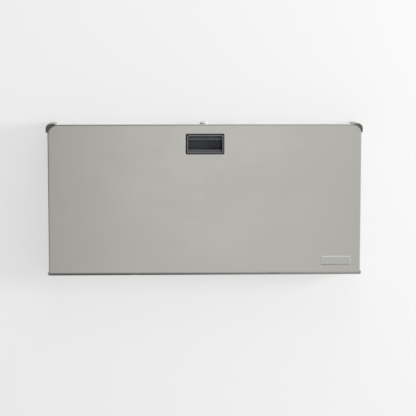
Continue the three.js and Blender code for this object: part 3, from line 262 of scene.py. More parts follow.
def rim(loop, axis, end, inward, edge, outward=1):
    """Rings of a rounded rim: drawn in by e (1 - sin a) at e (1 - cos a) from the end, for a from 0 to 90
    degrees."""
    return [stand(drawn_in(loop, outward * edge * (1 - math.sin(angle))), axis,
                  end + inward * edge * (1 - math.cos(angle)))
            for angle in quarter(RIM_STEPS)]


def plate(loop, axis, low, high, low_edge, high_edge=None):
    """A flat outline carried along an axis, with both its rims rounded."""
    high_edge = low_edge if high_edge is None else high_edge
    rings = rim(loop, axis, low, 1, low_edge) + rim(loop, axis, high, -1, high_edge)[::-1]
    return skin(rings, ends=(0, -1))


def ring_plate(outer, inner, axis, low, high, edge, hole_edge):
    """A plate with a hole: its four rounded rims in turn, outer low and high, then inner high and low."""
    rings = rim(outer, axis, low, 1, edge) + rim(outer, axis, high, -1, edge)[::-1]
    rings += rim(inner, axis, high, -1, hole_edge, -1) + rim(inner, axis, low, 1, hole_edge, -1)[::-1]
    return skin(rings, round_rows=True)


def turned(profile, origin, axis, steps=48, hollow=False):
    """A turned surface: ring i has radius r at height h along the axis. A hollow one closes on itself."""
    radius, height = np.asarray(profile, float).T
    along = Vector(axis).normalized()
    across = along.orthogonal().normalized()
    angle = np.linspace(0, 2 * np.pi, steps, endpoint=False)[:, None]
    spokes = np.cos(angle) * np.array(across) + np.sin(angle) * np.array(along.cross(across))
    grid = np.array(origin) + radius[:, None, None] * spokes + height[:, None, None] * np.array(along)
    return skin(grid, round_rows=hollow)


def smooth_line(points, spacing):
    """A Catmull-Rom line through points, resampled at even steps: between two points the weights of the four
    nearest are the usual cubics of the share t."""
    ends = np.concatenate([points[:1], points, points[-1:]])
    before, here, ahead, beyond = ends[:-3, None], ends[1:-2, None], ends[2:-1, None], ends[3:, None]
    t = np.linspace(0, 1, LINE_STEPS, endpoint=False)[None, :, None]
    line = (here + (ahead - before) * t / 2 + (2 * before - 5 * here + 4 * ahead - beyond) * t ** 2 / 2
            + (3 * here - before - 3 * ahead + beyond) * t ** 3 / 2).reshape(-1, 2)
    line = np.concatenate([line, points[-1:]])
    run = np.concatenate([[0], np.cumsum(np.linalg.norm(np.diff(line, axis=0), axis=1))])
    even = np.linspace(0, run[-1], int(run[-1] / spacing) + 1)
    return np.stack([np.interp(even, run, line[:, 0]), np.interp(even, run, line[:, 1])], -1), even


# Pieces


def closed_mesh(surface, merge):
    """A surface as a bmesh with its doubles merged and its faces turned outwards."""
    mesh = bpy.data.meshes.new("surface")
    mesh.from_pydata(surface[0].tolist(), [], surface[1])
    made = bmesh.new()
    made.from_mesh(mesh)
    bpy.data.meshes.remove(mesh)
    if merge:
        bmesh.ops.remove_doubles(made, verts=made.verts, dist=MERGE)
    bmesh.ops.recalc_face_normals(made, faces=made.faces)
    return made


def piece(name, surfaces, body, coat, replaced=(), unwrap=None, merge=True):
    """Makes one piece from its surfaces, with smooth shading, its finish and its body, and hides the CAD parts that it
    stands for.
    coat names the finish, and unwrap turns vertex places into a UV map in metres."""
    mesh = bpy.data.meshes.new(name)
    whole = bmesh.new()
    for surface in surfaces:
        part = closed_mesh(surface, merge)
        part.to_mesh(mesh)
        part.free()
        whole.from_mesh(mesh)
    whole.to_mesh(mesh)
    whole.free()
    mesh.polygons.foreach_set("use_smooth", [True] * len(mesh.polygons))
    mesh.set_sharp_from_angle(angle=SHARP)
    if unwrap is not None:
        place = np.empty(3 * len(mesh.vertices))
        mesh.vertices.foreach_get("co", place)
        corner = np.empty(len(mesh.loops), int)
        mesh.loops.foreach_get("vertex_index", corner)
        flat = unwrap(place.reshape(-1, 3))[corner]
        mesh.uv_layers.new(name=MAP).data.foreach_set("uv", flat.ravel())
    mesh.materials.append(finish(coat))
    made = bpy.data.objects.new(name, mesh)
    bpy.context.scene.collection.objects.link(made)
    shading = made.modifiers.new("flat faces stay flat", "WEIGHTED_NORMAL")
    shading.keep_sharp = True
    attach(made, body)
    if replaced:
        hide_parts(*replaced)
    return made


# Finishes


def add(tree, kind, sockets=(), **settings):
    """Adds one node and gives its outputs. settings are its own properties. sockets are its inputs, plain
    values or other nodes' outputs: the first ones in order, or those that a dict names."""
    made = tree.nodes.new("ShaderNode" + kind)
    for name, value in settings.items():
        setattr(made, name, value)
    for place, value in sockets.items() if isinstance(sockets, dict) else enumerate(sockets):
        if isinstance(value, bpy.types.NodeSocket):
            tree.links.new(value, made.inputs[place])
        else:
            made.inputs[place].default_value = value
    return made.outputs


MIX_FACTOR, MIX_FIRST, MIX_SECOND, MIX_RESULT = 0, 6, 7, 2  # a colour Mix node's sockets
MIDDLE = (0.3, 0.7)  # most of a noise's values lie between these
UNDER_PAINTED_SHADE = 0.25  # share of a metal's brightness that the painted shade leaves


def empty_tree(owner):
    """The node tree of a material or a world, with nothing in it."""
    owner.use_nodes = True
    owner.node_tree.nodes.clear()
    return owner.node_tree


def start_finish(name, *grains, mapped=False):
    """A new material, its tree, its coordinates in metres and its grains. A grain is (spacing, detail,
    roughness): noise whose features are spacing metres apart, one for all ways or one for each of x, y and z.
    The coordinates are the object's, or those of the piece's own map."""
    made = bpy.data.materials.new(name)
    tree = empty_tree(made)
    place = add(tree, "UVMap", uv_map=MAP)["UV"] if mapped else add(tree, "TexCoord")["Object"]
    shares = []
    for spacing, detail, roughness in grains:
        scale = [1 / size for size in np.broadcast_to(spacing, 3)]
        stretched = add(tree, "Mapping", {"Vector": place, "Scale": scale})["Vector"]
        shares += [add(tree, "TexNoise", {"Vector": stretched, "Scale": 1.0, "Detail": detail,
                                          "Roughness": roughness})["Fac"]]
    return made, tree, place, *shares


def end_finish(made, base, tones, gloss, relief, dust_and_painted_shade=None, **others):
    """Ends a material in a Principled shader. Its other sockets have _ for a space in their names.
    tones = (share, darker, lighter): the colour runs between two shades of the base with share from 0 to 1.
    gloss = (share, from, to, low, high): the roughness runs from low to high while share goes from from to
    to, or it is one number.
    relief = (height, depth) for each bump in metres, where the later ones lie over the earlier.
    The share given after relief darkens the colour towards a quarter of the base: painted shade and painted dark
    reflections on the sheet metals."""
    tree = made.node_tree
    share, *factors = tones
    dark, light = ((*(min(1.0, channel * factor) for channel in base[:3]), 1.0) for factor in factors)
    layers = [{MIX_FACTOR: share, MIX_FIRST: dark, MIX_SECOND: light}]
    # Painted shade: a second mix darkens the colour towards a quarter of the base
    if dust_and_painted_shade is not None:
        layers += [{MIX_FACTOR: dust_and_painted_shade, MIX_SECOND: (*(channel * UNDER_PAINTED_SHADE for channel in base[:3]), 1.0)}]
    sockets = {name.replace("_", " "): value for name, value in others.items()}
    for layer in layers:
        under = {MIX_FIRST: sockets["Base Color"]} if "Base Color" in sockets else {}
        sockets["Base Color"] = add(tree, "Mix", {**layer, **under}, data_type="RGBA")[MIX_RESULT]
    sockets["Roughness"] = gloss if isinstance(gloss, float) else add(tree, "MapRange", gloss)["Result"]
    for height, depth in relief:
        under = {"Normal": sockets["Normal"]} if "Normal" in sockets else {}
        sockets["Normal"] = add(tree, "Bump", {"Height": height, "Distance": depth, "Strength": 1.0,
                                               **under})["Normal"]
    shader = add(tree, "BsdfPrincipled", sockets)["BSDF"]
    add(tree, "OutputMaterial", {"Surface": shader})
    return made


def brushed_sheet(name, base, grain, along, roughness, anisotropy=0.0, shaded_heights=None, bent=False):
    """Cold-rolled stainless or aluminium sheet, belt-brushed. Fine lines along the belt's travel blur what it
    mirrors, and faint clouds show where the belt pressed more. The lines are drawn coarser than real ones, so
    that they show. With a pair of heights, the metal is darkened below the lower one, less and less up to the
    upper one: painted shade along the panel's rolled foot and under a plate's lower edge. A bent sheet is
    darkened where it turns back at its top: a painted dark reflection. Both are painted less and less from the
    left end to the right, as if the light came from the right."""
    lines = [grain] * 3
    lines["xyz".index(along)] = 240 * MM
    pressed = (160 * MM, 160 * MM, 120 * MM)
    made, tree, place, streaks, clouds = start_finish(name, (lines, 4.0, 0.55), (pressed, 2.0, 0.55))
    parts = [add(tree, "MapRange", (share, *MIDDLE, 0.0, part))["Result"]
             for share, part in ((streaks, 0.6), (clouds, 0.4))]
    mixed = add(tree, "Math", parts, operation="ADD")["Value"]
    dust_and_painted_shade = None
    # Painted shade below a pair of heights, and a painted dark reflection on a bent sheet's top bend
    if shaded_heights:
        at = add(tree, "SeparateXYZ", [place])
        dust_and_painted_shade = add(tree, "MapRange", (at["Z"], *shaded_heights, 1.0, 0.0))["Result"]
        if bent:
            # 4 n^2 (1 - n^2) of the upward part n of the normal: 0 on the flats, 1 where the sheet leans at 45. There
            # the colour is darkened: a painted dark reflection along the top bend
            up = add(tree, "SeparateXYZ", [add(tree, "TexCoord")["Normal"]])["Z"]
            square = add(tree, "Math", (up, up), operation="MULTIPLY")["Value"]
            four = add(tree, "Math", (4.0, square), operation="MULTIPLY")["Value"]
            rest = add(tree, "Math", (1.0, square), operation="SUBTRACT")["Value"]
            painted_bend_shade = add(tree, "Math", (four, rest), operation="MULTIPLY")["Value"]
            dust_and_painted_shade = add(tree, "Math", (dust_and_painted_shade, painted_bend_shade), operation="MAXIMUM")["Value"]
        # Painted as if the light came from the right: the painted shade is full at the left end and falls to 0.4 of it
        # at the right
        less_painted_shade_rightwards = add(tree, "MapRange", (at["X"], -0.2, 0.4, 1.0, 0.4))["Result"]
        dust_and_painted_shade = add(tree, "Math", (dust_and_painted_shade, less_painted_shade_rightwards), operation="MULTIPLY")["Value"]
    brushing = {}
    if anisotropy:
        way = add(tree, "Tangent", direction_type="UV_MAP", uv_map=MAP)["Tangent"]
        brushing = {"Anisotropic": anisotropy, "Anisotropic_Rotation": 0.25, "Tangent": way}  # a quarter turn
    return end_finish(made, base, (mixed, 0.95, 1.04), (mixed, 0.2, 0.8, roughness - 0.03, roughness + 0.04),
                      [(streaks, 0.006 * MM)], dust_and_painted_shade, Metallic=1.0, **brushing)


def moulded_plastic(name, base, roughness, texture, depth):
    """Injection-moulded plastic from a spark-eroded tool: an even fine stipple, a soft gloss, and slightly
    cloudy colour where the melt flowed. The stipple is drawn coarser than a real one, so that it shows."""
    made, _, _, stipple, flow = start_finish(name, (texture, 2.0, 0.6),
                                             ((60 * MM, 60 * MM, 35 * MM), 2.0, 0.55))
    return end_finish(made, base, (flow, 0.93, 1.07), (stipple, *MIDDLE, roughness - 0.05, roughness + 0.05),
                      [(stipple, depth)], IOR=1.5)


def rotomoulded_polyethylene(name, base):
    """Polyethylene moulded in a warm tool: waxy, with a shallow orange peel and tiny pale flecks of unmelted
    powder."""
    made, tree, _, peel, powder = start_finish(name, (3.5 * MM, 1.5, 0.4), (1.8 * MM, 1.0, 0.55))
    flecks = add(tree, "MapRange", (powder, 0.55, 0.8, 0.0, 1.0))["Result"]
    return end_finish(made, base, (flecks, 0.98, 1.07), (peel, *MIDDLE, 0.42, 0.52), [(peel, 0.05 * MM)],
                      IOR=1.51)


def plated_metal(name, base, roughness, mottle):
    """Plated steel: bright, with the slight cloudiness that the plating bath leaves."""
    made, _, _, clouds = start_finish(name, (mottle, 4.0, 0.55))
    return end_finish(made, base, (clouds, 0.9, 1.08), (clouds, *MIDDLE, roughness - 0.05, roughness + 0.07),
                      [(clouds, 0.01 * MM)], Metallic=1.0)


def painted_metal(name, base, roughness):
    """Stoved paint on steel or a casting: a thin even orange peel under a satin gloss."""
    made, _, _, peel = start_finish(name, (1.2 * MM, 1.0, 0.55))
    return end_finish(made, base, (peel, 0.94, 1.06), (peel, *MIDDLE, roughness - 0.04, roughness + 0.06),
                      [(peel, 0.015 * MM)], IOR=1.5, Coat_Weight=0.25, Coat_Roughness=0.15)


def moulded_rubber(name, base):
    """Compression-moulded rubber: dull, faintly dusted, with a fine grain from the mould, drawn coarser than a
    real one."""
    made, _, _, grain, dust_and_painted_shade = start_finish(name, (0.9 * MM, 3.0, 0.55), (9 * MM, 4.0, 0.55))
    return end_finish(made, base, (dust_and_painted_shade, 0.85, 1.35), (grain, *MIDDLE, 0.75, 0.9), [(grain, 0.04 * MM)],
                      IOR=1.52)


def woven_webbing(name, base, thread):
    """Narrow-loom polypropylene webbing: floats of twisted yarn set like bricks, each a rounded little pillow,
    with a dull sheen and fibres that vary in shade. The threads are drawn coarser than real ones."""
    made, tree, flat, fibres = start_finish(name, ((thread * 1.5, thread * 0.15, MM), 3.0, 0.55), mapped=True)
    floats = add(tree, "TexBrick", {
        "Vector": flat, "Scale": 1.0, "Brick Width": thread * 1.9, "Row Height": thread,
        "Mortar Size": thread * 0.16, "Mortar Smooth": 1.0,
        "Color1": (0.35, 0.35, 0.35, 1.0), "Color2": (0.65, 0.65, 0.65, 1.0), "Mortar": (0.0, 0.0, 0.0, 1.0)})
    spun = add(tree, "Math", (floats["Color"], fibres), operation="MULTIPLY")["Value"]
    tone = add(tree, "MapRange", (spun, 0.0, 0.45, 0.0, 1.0))["Result"]
    raised = add(tree, "Math", (1.0, floats["Fac"]), operation="SUBTRACT")["Value"]
    return end_finish(made, base, (tone, 0.6, 1.35), 0.82, [(fibres, 0.08 * MM), (raised, 0.35 * MM)], IOR=1.49,
                      Sheen_Weight=0.25, Sheen_Roughness=0.4)


FINISHES = {}


def make_finishes(sizes, colours):
    """Makes every finish once, named for its material and how it was made, and for the painted light or shade that
    some of them carry.
    """
    axis = JOINTS["bed_fold"]["pos_m"][2]
    # Heights of the painted shade along the panel's rolled foot and on the knuckles, which share its finish: full just
    # below the hinge's axis, gone 4 mm above it
    roll = (axis - 0.5 * MM, axis + 4.0 * MM)
    # The plate and its bevelled edge are darkened along their lower edge: painted shade under the plate
    plate_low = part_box("name_plate")[0].z
    plate_foot_shade = (plate_low + 1.8 * MM, plate_low + 3.2 * MM)
    steel = sizes.grain
    aluminium = 0.8 * MM
    stipple = 1.1 * MM
    mottle = 14 * MM
    FINISHES.update(
        # The panel carries painted shade along its rolled foot and a painted dark reflection along its top bend
        panel=brushed_sheet("brushed_stainless_panel_painted_shade", colours.panel, steel, "x", 0.33, 0.8, roll, True),
        case=brushed_sheet("satin_stainless_case", colours.case, steel, "x", 0.18),
        # Painted light: the top is a lighter copy of the case's stainless
        top=brushed_sheet("polished_stainless_top_painted_light", colours.top, steel, "x", 0.14),
        side=brushed_sheet("satin_stainless_sides", colours.case, steel, "z", 0.3),
        plate=brushed_sheet("brushed_aluminium_plate_painted_shade", colours.plate, aluminium, "x", 0.3, shaded_heights=plate_foot_shade),
        # Painted highlight: the bevel is a lighter copy of the plate's aluminium
        edge=brushed_sheet("diamond_cut_edge_painted_highlight", colours.edge, aluminium, "x", 0.22, shaded_heights=plate_foot_shade),
        caps=moulded_plastic("moulded_grey_abs", colours.caps, 0.2, stipple, 0.02 * MM),
        handle=moulded_plastic("moulded_dark_abs", colours.handle, 0.42, stipple, 0.04 * MM),
        lip=moulded_plastic("grey_abs_painted_light", colours.lip, 0.42, stipple, 0.04 * MM),
        bezel=plated_metal("chromed_abs_bezel", colours.bezel, 0.28, mottle),
        bin=moulded_plastic("moulded_polypropylene", colours.bin, 0.48, 1.6 * MM, 0.04 * MM),
        hooks=moulded_plastic("moulded_nylon", colours.hooks, 0.45, 1.0 * MM, 0.04 * MM),
        tray=rotomoulded_polyethylene("rotomoulded_polyethylene", colours.tray),
        zinc=plated_metal("zinc_plated_steel", colours.zinc, 0.36, mottle),
        # Painted shade: the rod is darkened to carry on the shade along the panel's foot
        rod=plated_metal("dark_steel_rod_painted_shade", colours.rod, 0.4, mottle),
        buckle=plated_metal("nickel_plated_steel", colours.buckle, 0.24, 9 * MM),
        chrome=plated_metal("hard_chromed_rod", colours.chrome, 0.12, 22 * MM),
        strut=painted_metal("black_stoved_paint", colours.strut, 0.34),
        lock=painted_metal("grey_painted_casting", colours.lock, 0.4),
        rubber=moulded_rubber("moulded_rubber", colours.rubber),
        webbing=woven_webbing("woven_polypropylene_webbing", colours.webbing, sizes.thread),
    )


def finish(coat):
    """One of the finishes, which are all made the first time that one is asked for."""
    if not FINISHES:
        scene = bpy.context.scene
        make_finishes(scene.station_sizes, scene.station_colours)
    return FINISHES[coat]


class StationOperator:
    """What the station's operators share."""

    bl_options = {"REGISTER", "UNDO"}


# Front panel


PAN_SIDE_STEPS, PAN_TOP_STEPS, PAN_CORNER_STEPS, PAN_FOOT_STEPS = 24, 50, 14, 80


def flat_map(place):
    """Map of the panel: across, and up its face and over its returns."""
    return np.stack([place[:, 0], place[:, 2] - place[:, 1]], -1)


def pan_rim(hi, corner, foot, inset):
    """The panel's outline from its left foot over the top to its right foot, moved in by inset: straight sides
    and top, and arcs of radius (corner - inset) about the corners' middles."""
    high = np.linspace(foot, hi.z - corner, PAN_SIDE_STEPS)[:-1]
    left = np.stack([np.full(len(high), inset - hi.x), high], -1)
    across = np.linspace(corner - hi.x, hi.x - corner, PAN_TOP_STEPS)[1:-1]
    top = np.stack([across, np.full(len(across), hi.z - inset)], -1)
    bends = [arc((sign * (hi.x - corner), hi.z - corner), corner - inset, start, start - 90, PAN_CORNER_STEPS)
             for sign, start in ((-1, 180), (1, 90))]
    return np.concatenate([left, bends[0], top, bends[1], (left * (-1, 1))[::-1]])


def toward(loop, middle, half_width, half_height):
    """Where the lines from a loop's points to a middle point cross a rectangle round it. The crossing nearest
    to each of the rectangle's corners moves into that corner."""
    way = loop - middle
    reach = np.min(np.abs([half_width, half_height] / np.where(way == 0, 1e-9, way)), 1, keepdims=True)
    hits = middle + way * reach
    corners = middle + np.array([[-1, -1], [1, -1], [1, 1], [-1, 1]]) * (half_width, half_height)
    nearest = np.argmin(np.linalg.norm(hits[None] - corners[:, None], axis=2), 1)
    hits[nearest] = corners
    return hits


class STATION_OT_front_panel(StationOperator, bpy.types.Operator):
    """Front panel: bent pan, open at the foot, with its lower edge rolled round the hinge rod"""

    bl_idname = "station.front_panel"
    bl_label = "Front panel"

    def execute(self, context):
        sizes = context.scene.station_sizes
        lo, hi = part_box("front_panel")
        hinge = Vector(JOINTS["bed_fold"]["pos_m"])
        sheet = sizes.panel_sheet
        bend = sizes.panel_bend
        roll = hinge.y - lo.y
        foot = hinge.z + roll + MM  # where the flat face goes over into the roll's strip
        flat_in = 2 * bend

        def pan(inset):
            """The panel's outline, moved in."""
            return pan_rim(hi, sizes.panel_corner, foot, inset)

        # Bend and returns: profile of inset and depth carried along the outline, outside and then inside
        angle = np.radians(np.linspace(0, 90, 9))
        inset = np.concatenate([[flat_in], bend - bend * np.sin(angle), [0, sheet],
                                bend - (bend - sheet) * np.sin(angle[::-1]), [flat_in]])
        depth = np.concatenate([[0], bend - bend * np.cos(angle), [hi.y - lo.y] * 2,
                                bend - (bend - sheet) * np.cos(angle[::-1]), [sheet]])
        rings = [stand(pan(i), "y", lo.y + d) for i, d in zip(inset, depth)]
        returns = skin(np.transpose(rings, (1, 0, 2)), round_columns=False, ends=(0, -1))

        # Face: rings between the inset outline, closed along the foot, and the handle's hole, front and back
        edge = pan(flat_in)
        low_line = np.linspace(edge[-1], edge[0], PAN_FOOT_STEPS)[1:-1]
        border = np.concatenate([edge, low_line])
        cup_lo, cup_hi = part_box("handle_cup")
        middle = np.array([(cup_lo.x + cup_hi.x) / 2, (cup_lo.z + cup_hi.z) / 2])
        hole_in = sizes.bezel_rim - CUP_WALL - FIT
        hole = toward(border, middle, cup_hi.x - hole_in, (cup_hi.z - cup_lo.z) / 2 - hole_in)
        face = skin([stand(border, "y", lo.y), stand(hole, "y", lo.y), stand(hole, "y", lo.y + sheet),
                     stand(border, "y", lo.y + sheet)])

        # Roll: a strip of the face and the round under it. In front of the case's knuckles there is only the
        # strip, and at its ends the roll stops short of the side panels' lugs.
        round_start, round_end, round_steps = 180, 515, 56
        outside = arc((hinge.y, hinge.z), roll, round_start, round_end, round_steps)
        inside = arc((hinge.y, hinge.z), roll - sheet, round_end, round_start, round_steps)
        rolled = np.concatenate([[(lo.y, foot)], outside, inside, [(lo.y + sheet, foot)]])
        gap = 0.5 * MM
        lip = hinge.z + gap
        strip = np.array([(lo.y, foot), (lo.y, lip), (lo.y + sheet, lip), (lo.y + sheet, foot)])
        knuckle_lo, knuckle_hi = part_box("hinge_bracket_right")
        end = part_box("side_panel_right")[0].x - MM
        stops = np.array([knuckle_lo.x - gap, knuckle_hi.x + gap, end])
        cuts = np.concatenate([-stops[::-1], stops])
        profiles = (rolled, strip, rolled, strip, rolled)
        strips = [skin([stand(profile, "x", left), stand(profile, "x", right)], round_columns=False,
                       ends=(0, -1)) for left, right, profile in zip(cuts, cuts[1:], profiles)]
        piece("front_panel_skin", [joined(returns, face), *strips], "bed", "panel",
              ["front_panel"], flat_map)
        return {"FINISHED"}


# Pull handle


class STATION_OT_pull_handle(StationOperator, bpy.types.Operator):
    """Pull handle: recess with a sloping foot, finger lip under its roof, sill, chromed bezel and rubber seal"""

    bl_idname = "station.pull_handle"
    bl_label = "Pull handle"

    def execute(self, context):
        # Rounded rectangles at a depth, each the recess's mouth grown all round with its foot raised
        sizes = context.scene.station_sizes
        lo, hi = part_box("handle_cup")
        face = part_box("front_panel")[0].y
        middle = (lo.z + hi.z) / 2
        roof = hi.z - middle - sizes.bezel_rim
        back = face + sizes.cup_depth
        slope_rise = 7 * MM
        slope_run = 5 * MM
        corner = 4 * MM
        wall = CUP_WALL

        def outline(grow, rise=0.0):
            """The mouth's outline, grown all round, with its foot raised."""
            half = hi.x - sizes.bezel_rim + grow
            return rectangle(-half, half, middle - roof - grow + rise, middle + roof + grow, corner, 9)

        def ring(grow, rise, depth):
            """An outline at a depth."""
            return stand(outline(grow, rise), "y", depth)

        floor_round = 2 * MM
        floor = [ring(-floor_round * (1 - math.cos(a)), slope_rise, back - floor_round * (1 - math.sin(a)))
                 for a in quarter(6)]
        rings = [
            ring(wall - MM, slope_rise, back + wall), ring(wall, slope_rise, back + wall - MM),
            ring(wall, slope_rise, face + wall + slope_run), ring(wall, 0, face + wall), ring(wall, 0, face),
            ring(0, 0, face), ring(0, slope_rise, face + slope_run), *floor,
        ]
        piece("handle_shell", [skin(rings, ends=(0, -1))], "bed", "handle", ["handle_cup"])

        # Bezel: a half round from the seal's inner edge to the recess's mouth, fuller at its shoulders
        bead = sizes.bezel_rim - sizes.seal
        foot = face - 0.7 * MM
        fullness = 0.7  # power of the sine: 1 is a plain half round
        bezel = [ring(bead * (1 + math.cos(a)) / 2, 0, foot - (foot - lo.y) * math.sin(a) ** fullness)
                 for a in np.linspace(0, math.pi, 15)]
        seat = face - FIT
        piece("handle_bezel", [skin([*bezel, ring(0, 0, seat), ring(bead, 0, seat)], round_rows=True)], "bed",
              "bezel")

        # Finger lip, stepped forward over its lower half, and the sill on the slope, both in a lighter grey than the
        # recess: painted light
        half = hi.x - sizes.bezel_rim + MM
        top = middle + roof
        front = face + 2 * MM
        step = front + 4 * MM
        rear = step + 2 * MM
        lip_low = top - 12 * MM
        lip = rounded([(step, top + MM), (step, top - 4.5 * MM), (front, top - 6 * MM), (front, lip_low),
                       (rear, lip_low), (rear, top + MM)], np.array([0.2, 0.6, 0.6, 1.2, 1.2, 0.2]) * MM)
        mouth = np.array([face, middle - roof])
        lean = np.array([slope_run, slope_rise])
        out = np.array([-slope_rise, slope_run]) / np.linalg.norm(lean) * MM
        sill = rounded([mouth, mouth + out, mouth + lean + out, mouth + lean], 0.2 * MM)
        piece("handle_lip", [plate(loop, "x", -half, half, 0.1 * MM) for loop in (lip, sill)], "bed",
              "lip")

        seal = ring_plate(outline(sizes.bezel_rim), outline(bead), "y", face - 1.2 * MM, face - FIT,
                          0.5 * MM, 0.1 * MM)
        piece("handle_seal", [seal], "bed", "rubber")
        return {"FINISHED"}


class STATION_OT_name_plate(StationOperator, bpy.types.Operator):
    """Name plate, left bare: a flat field and its bevelled edge, drawn lighter as a painted highlight"""

    bl_idname = "station.name_plate"
    bl_label = "Name plate"

    def execute(self, context):
        lo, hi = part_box("name_plate")
        loop = rectangle(lo.x, hi.x, lo.z, hi.z, 2 * MM)
        bevel = 1.7 * MM
        inner = drawn_in(loop, bevel)
        field = skin([stand(inner, "y", hi.y), stand(inner, "y", lo.y + 0.1 * MM)], ends=(0, -1))
        piece("name_plate_bare", [field], "bed", "plate", ["name_plate"])
        rings = [stand(loop, "y", hi.y), stand(loop, "y", lo.y + bevel), stand(inner, "y", lo.y),
                 stand(inner, "y", hi.y)]
        piece("name_plate_edge", [skin(rings, round_rows=True)], "bed", "edge")
        return {"FINISHED"}


# Case corners and bed hinge


class STATION_OT_corner_caps(StationOperator, bpy.types.Operator):
    """Corner caps: an L over the ends of the top and side sheets, and a raised rim round a web at its front"""

    bl_idname = "station.corner_caps"
    bl_label = "Corner caps"

    def execute(self, context):
        sizes = context.scene.station_sizes
        # A section carried along the cap's outside, from the end of its top leg to the end of its side leg.
        # The section runs up the outside, over the rim, across the web and down the inside.
        sheet_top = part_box("top_panel")
        sheet_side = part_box("side_panel_right")[1]
        lo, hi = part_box("corner_cap_right")
        top_seat = sheet_top[1].z + FIT
        side_seat = sheet_side.x + FIT
        inner_x = sheet_top[1].x + FIT
        inner_z = sheet_side.z + FIT
        rear = -1.8 * MM  # just clear of the back plate
        web_back = sheet_top[0].y - FIT
        corner = 14 * MM
        web_round = 16 * MM
        top_nose = hi.z - top_seat
        side_nose = hi.x - side_seat

        # Outside, web's inner round and the L's inside, point for point
        bends = [arc((lo.x + top_nose, top_seat), top_nose, 180, 90, 9),
                 arc((hi.x - corner, hi.z - corner), corner, 90, 0, 25),
                 arc((side_seat, lo.z + side_nose), side_nose, 0, -90, 9)]
        outside = np.concatenate(bends)
        count = len(outside)
        hollow = arc((lo.x, lo.z), web_round, 90, 0, count)
        stops = [0, 9, 21, 33, count - 1]
        corners = ([lo.x, inner_x, inner_x, side_seat, side_seat], [top_seat, top_seat, inner_z, inner_z, lo.z])
        inside = np.stack([np.interp(np.arange(count), stops, places) for places in corners], -1)
        along = unit(np.gradient(outside, axis=0))
        inward = np.stack([along[:, 1], -along[:, 0]], -1)

        edge = sizes.cap_round
        front = lo.y - sizes.cap_rim
        soft = 0.5 * MM
        wide = np.interp(np.arange(count), stops, np.array([2, 2.2, 5, 4, 3.4]) * MM)[:, None]
        rows = [stand(outside, "y", rear)]
        rows += [stand(outside + inward * 0.75 * wide * (1 - math.cos(a)), "y",
                       front + edge * (1 - math.sin(a))) for a in quarter(10)]
        rows += [stand(outside + inward * (wide - soft * (1 - math.sin(a))), "y",
                       front + soft * (1 - math.cos(a))) for a in quarter(4)]
        rows += [stand(loop, "y", depth) for loop, depth in (
            (outside + inward * wide, lo.y), (hollow, lo.y), (hollow, web_back), (inside, web_back),
            (inside, rear))]
        grid = np.transpose(rows, (1, 0, 2))
        for side, sign in SIDES:
            piece(f"corner_cap_{side}_shell", [skin(grid * (sign, 1, 1), ends=(0, -1))], "case",
                  "caps", [f"corner_cap_{side}"])
        return {"FINISHED"}


class STATION_OT_bed_hinge(StationOperator, bpy.types.Operator):
    """Bed hinge: the case's two half knuckles with their leaves, and the caps on the rod's ends"""

    bl_idname = "station.bed_hinge"
    bl_label = "Bed hinge"

    def execute(self, context):
        hinge = Vector(JOINTS["bed_fold"]["pos_m"])
        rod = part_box("hinge_rod")[1].z - hinge.z
        middle = (hinge.y, hinge.z)
        round_out = hinge.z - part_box("front_panel")[0].z
        for side, sign in SIDES:
            lo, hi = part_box(f"hinge_bracket_{side}")
            ends = [math.degrees(math.acos((lo.y - hinge.y) / radius)) for radius in (round_out, rod + FIT)]
            saddle = np.concatenate([arc(middle, round_out, -ends[0], ends[0], 25),
                                     arc(middle, rod + FIT, ends[1], -ends[1], 25)])
            knuckle = plate(saddle, "x", lo.x, hi.x, 0.25 * MM)
            low = hinge.z - round_out + 1.8 * MM
            leaf = plate(rectangle(hinge.y + rod + 0.6 * MM, hi.y, low, low + 1.5 * MM, 0.3 * MM), "x",
                         lo.x, hi.x, 0.3 * MM)
            piece(f"hinge_knuckle_{side}", [knuckle, leaf], "case", "panel",
                  [f"hinge_bracket_{side}"], flat_map)
            cap_lo, cap_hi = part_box(f"hinge_end_cap_{side}")
            thick = cap_hi.x - cap_lo.x
            dome = rod + 0.9 * MM
            crown = softened([(0, 0), (dome, 0), (dome, thick), (0, thick)], np.array([0.2, 1.5]) * MM)
            near = cap_lo.x if sign > 0 else cap_hi.x
            piece(f"hinge_end_cap_{side}_shell", [turned(crown, (near, *middle), (sign, 0, 0))], "case",
                  "zinc", [f"hinge_end_cap_{side}"])
        return {"FINISHED"}


# Bed tray, straps and buckle


RIM_H = 44 * MM  # the tray's rim over its flange
RIM_W = 22 * MM
BOWL_D = 33 * MM
FLANGE_X = 18 * MM
FLANGE_Z = 6 * MM
SLOPES = np.array([70, 70, 80, 45]) * MM  # left, right, top, foot
FOOT_OUT = 2 * MM  # the wall's foot starts this far outside the tub
FOOT_ROUND = 2.5 * MM
SHOULDER_IN = 9.5 * MM
SHOULDER_ROUND = 5 * MM
CORNER_STEPS = 13


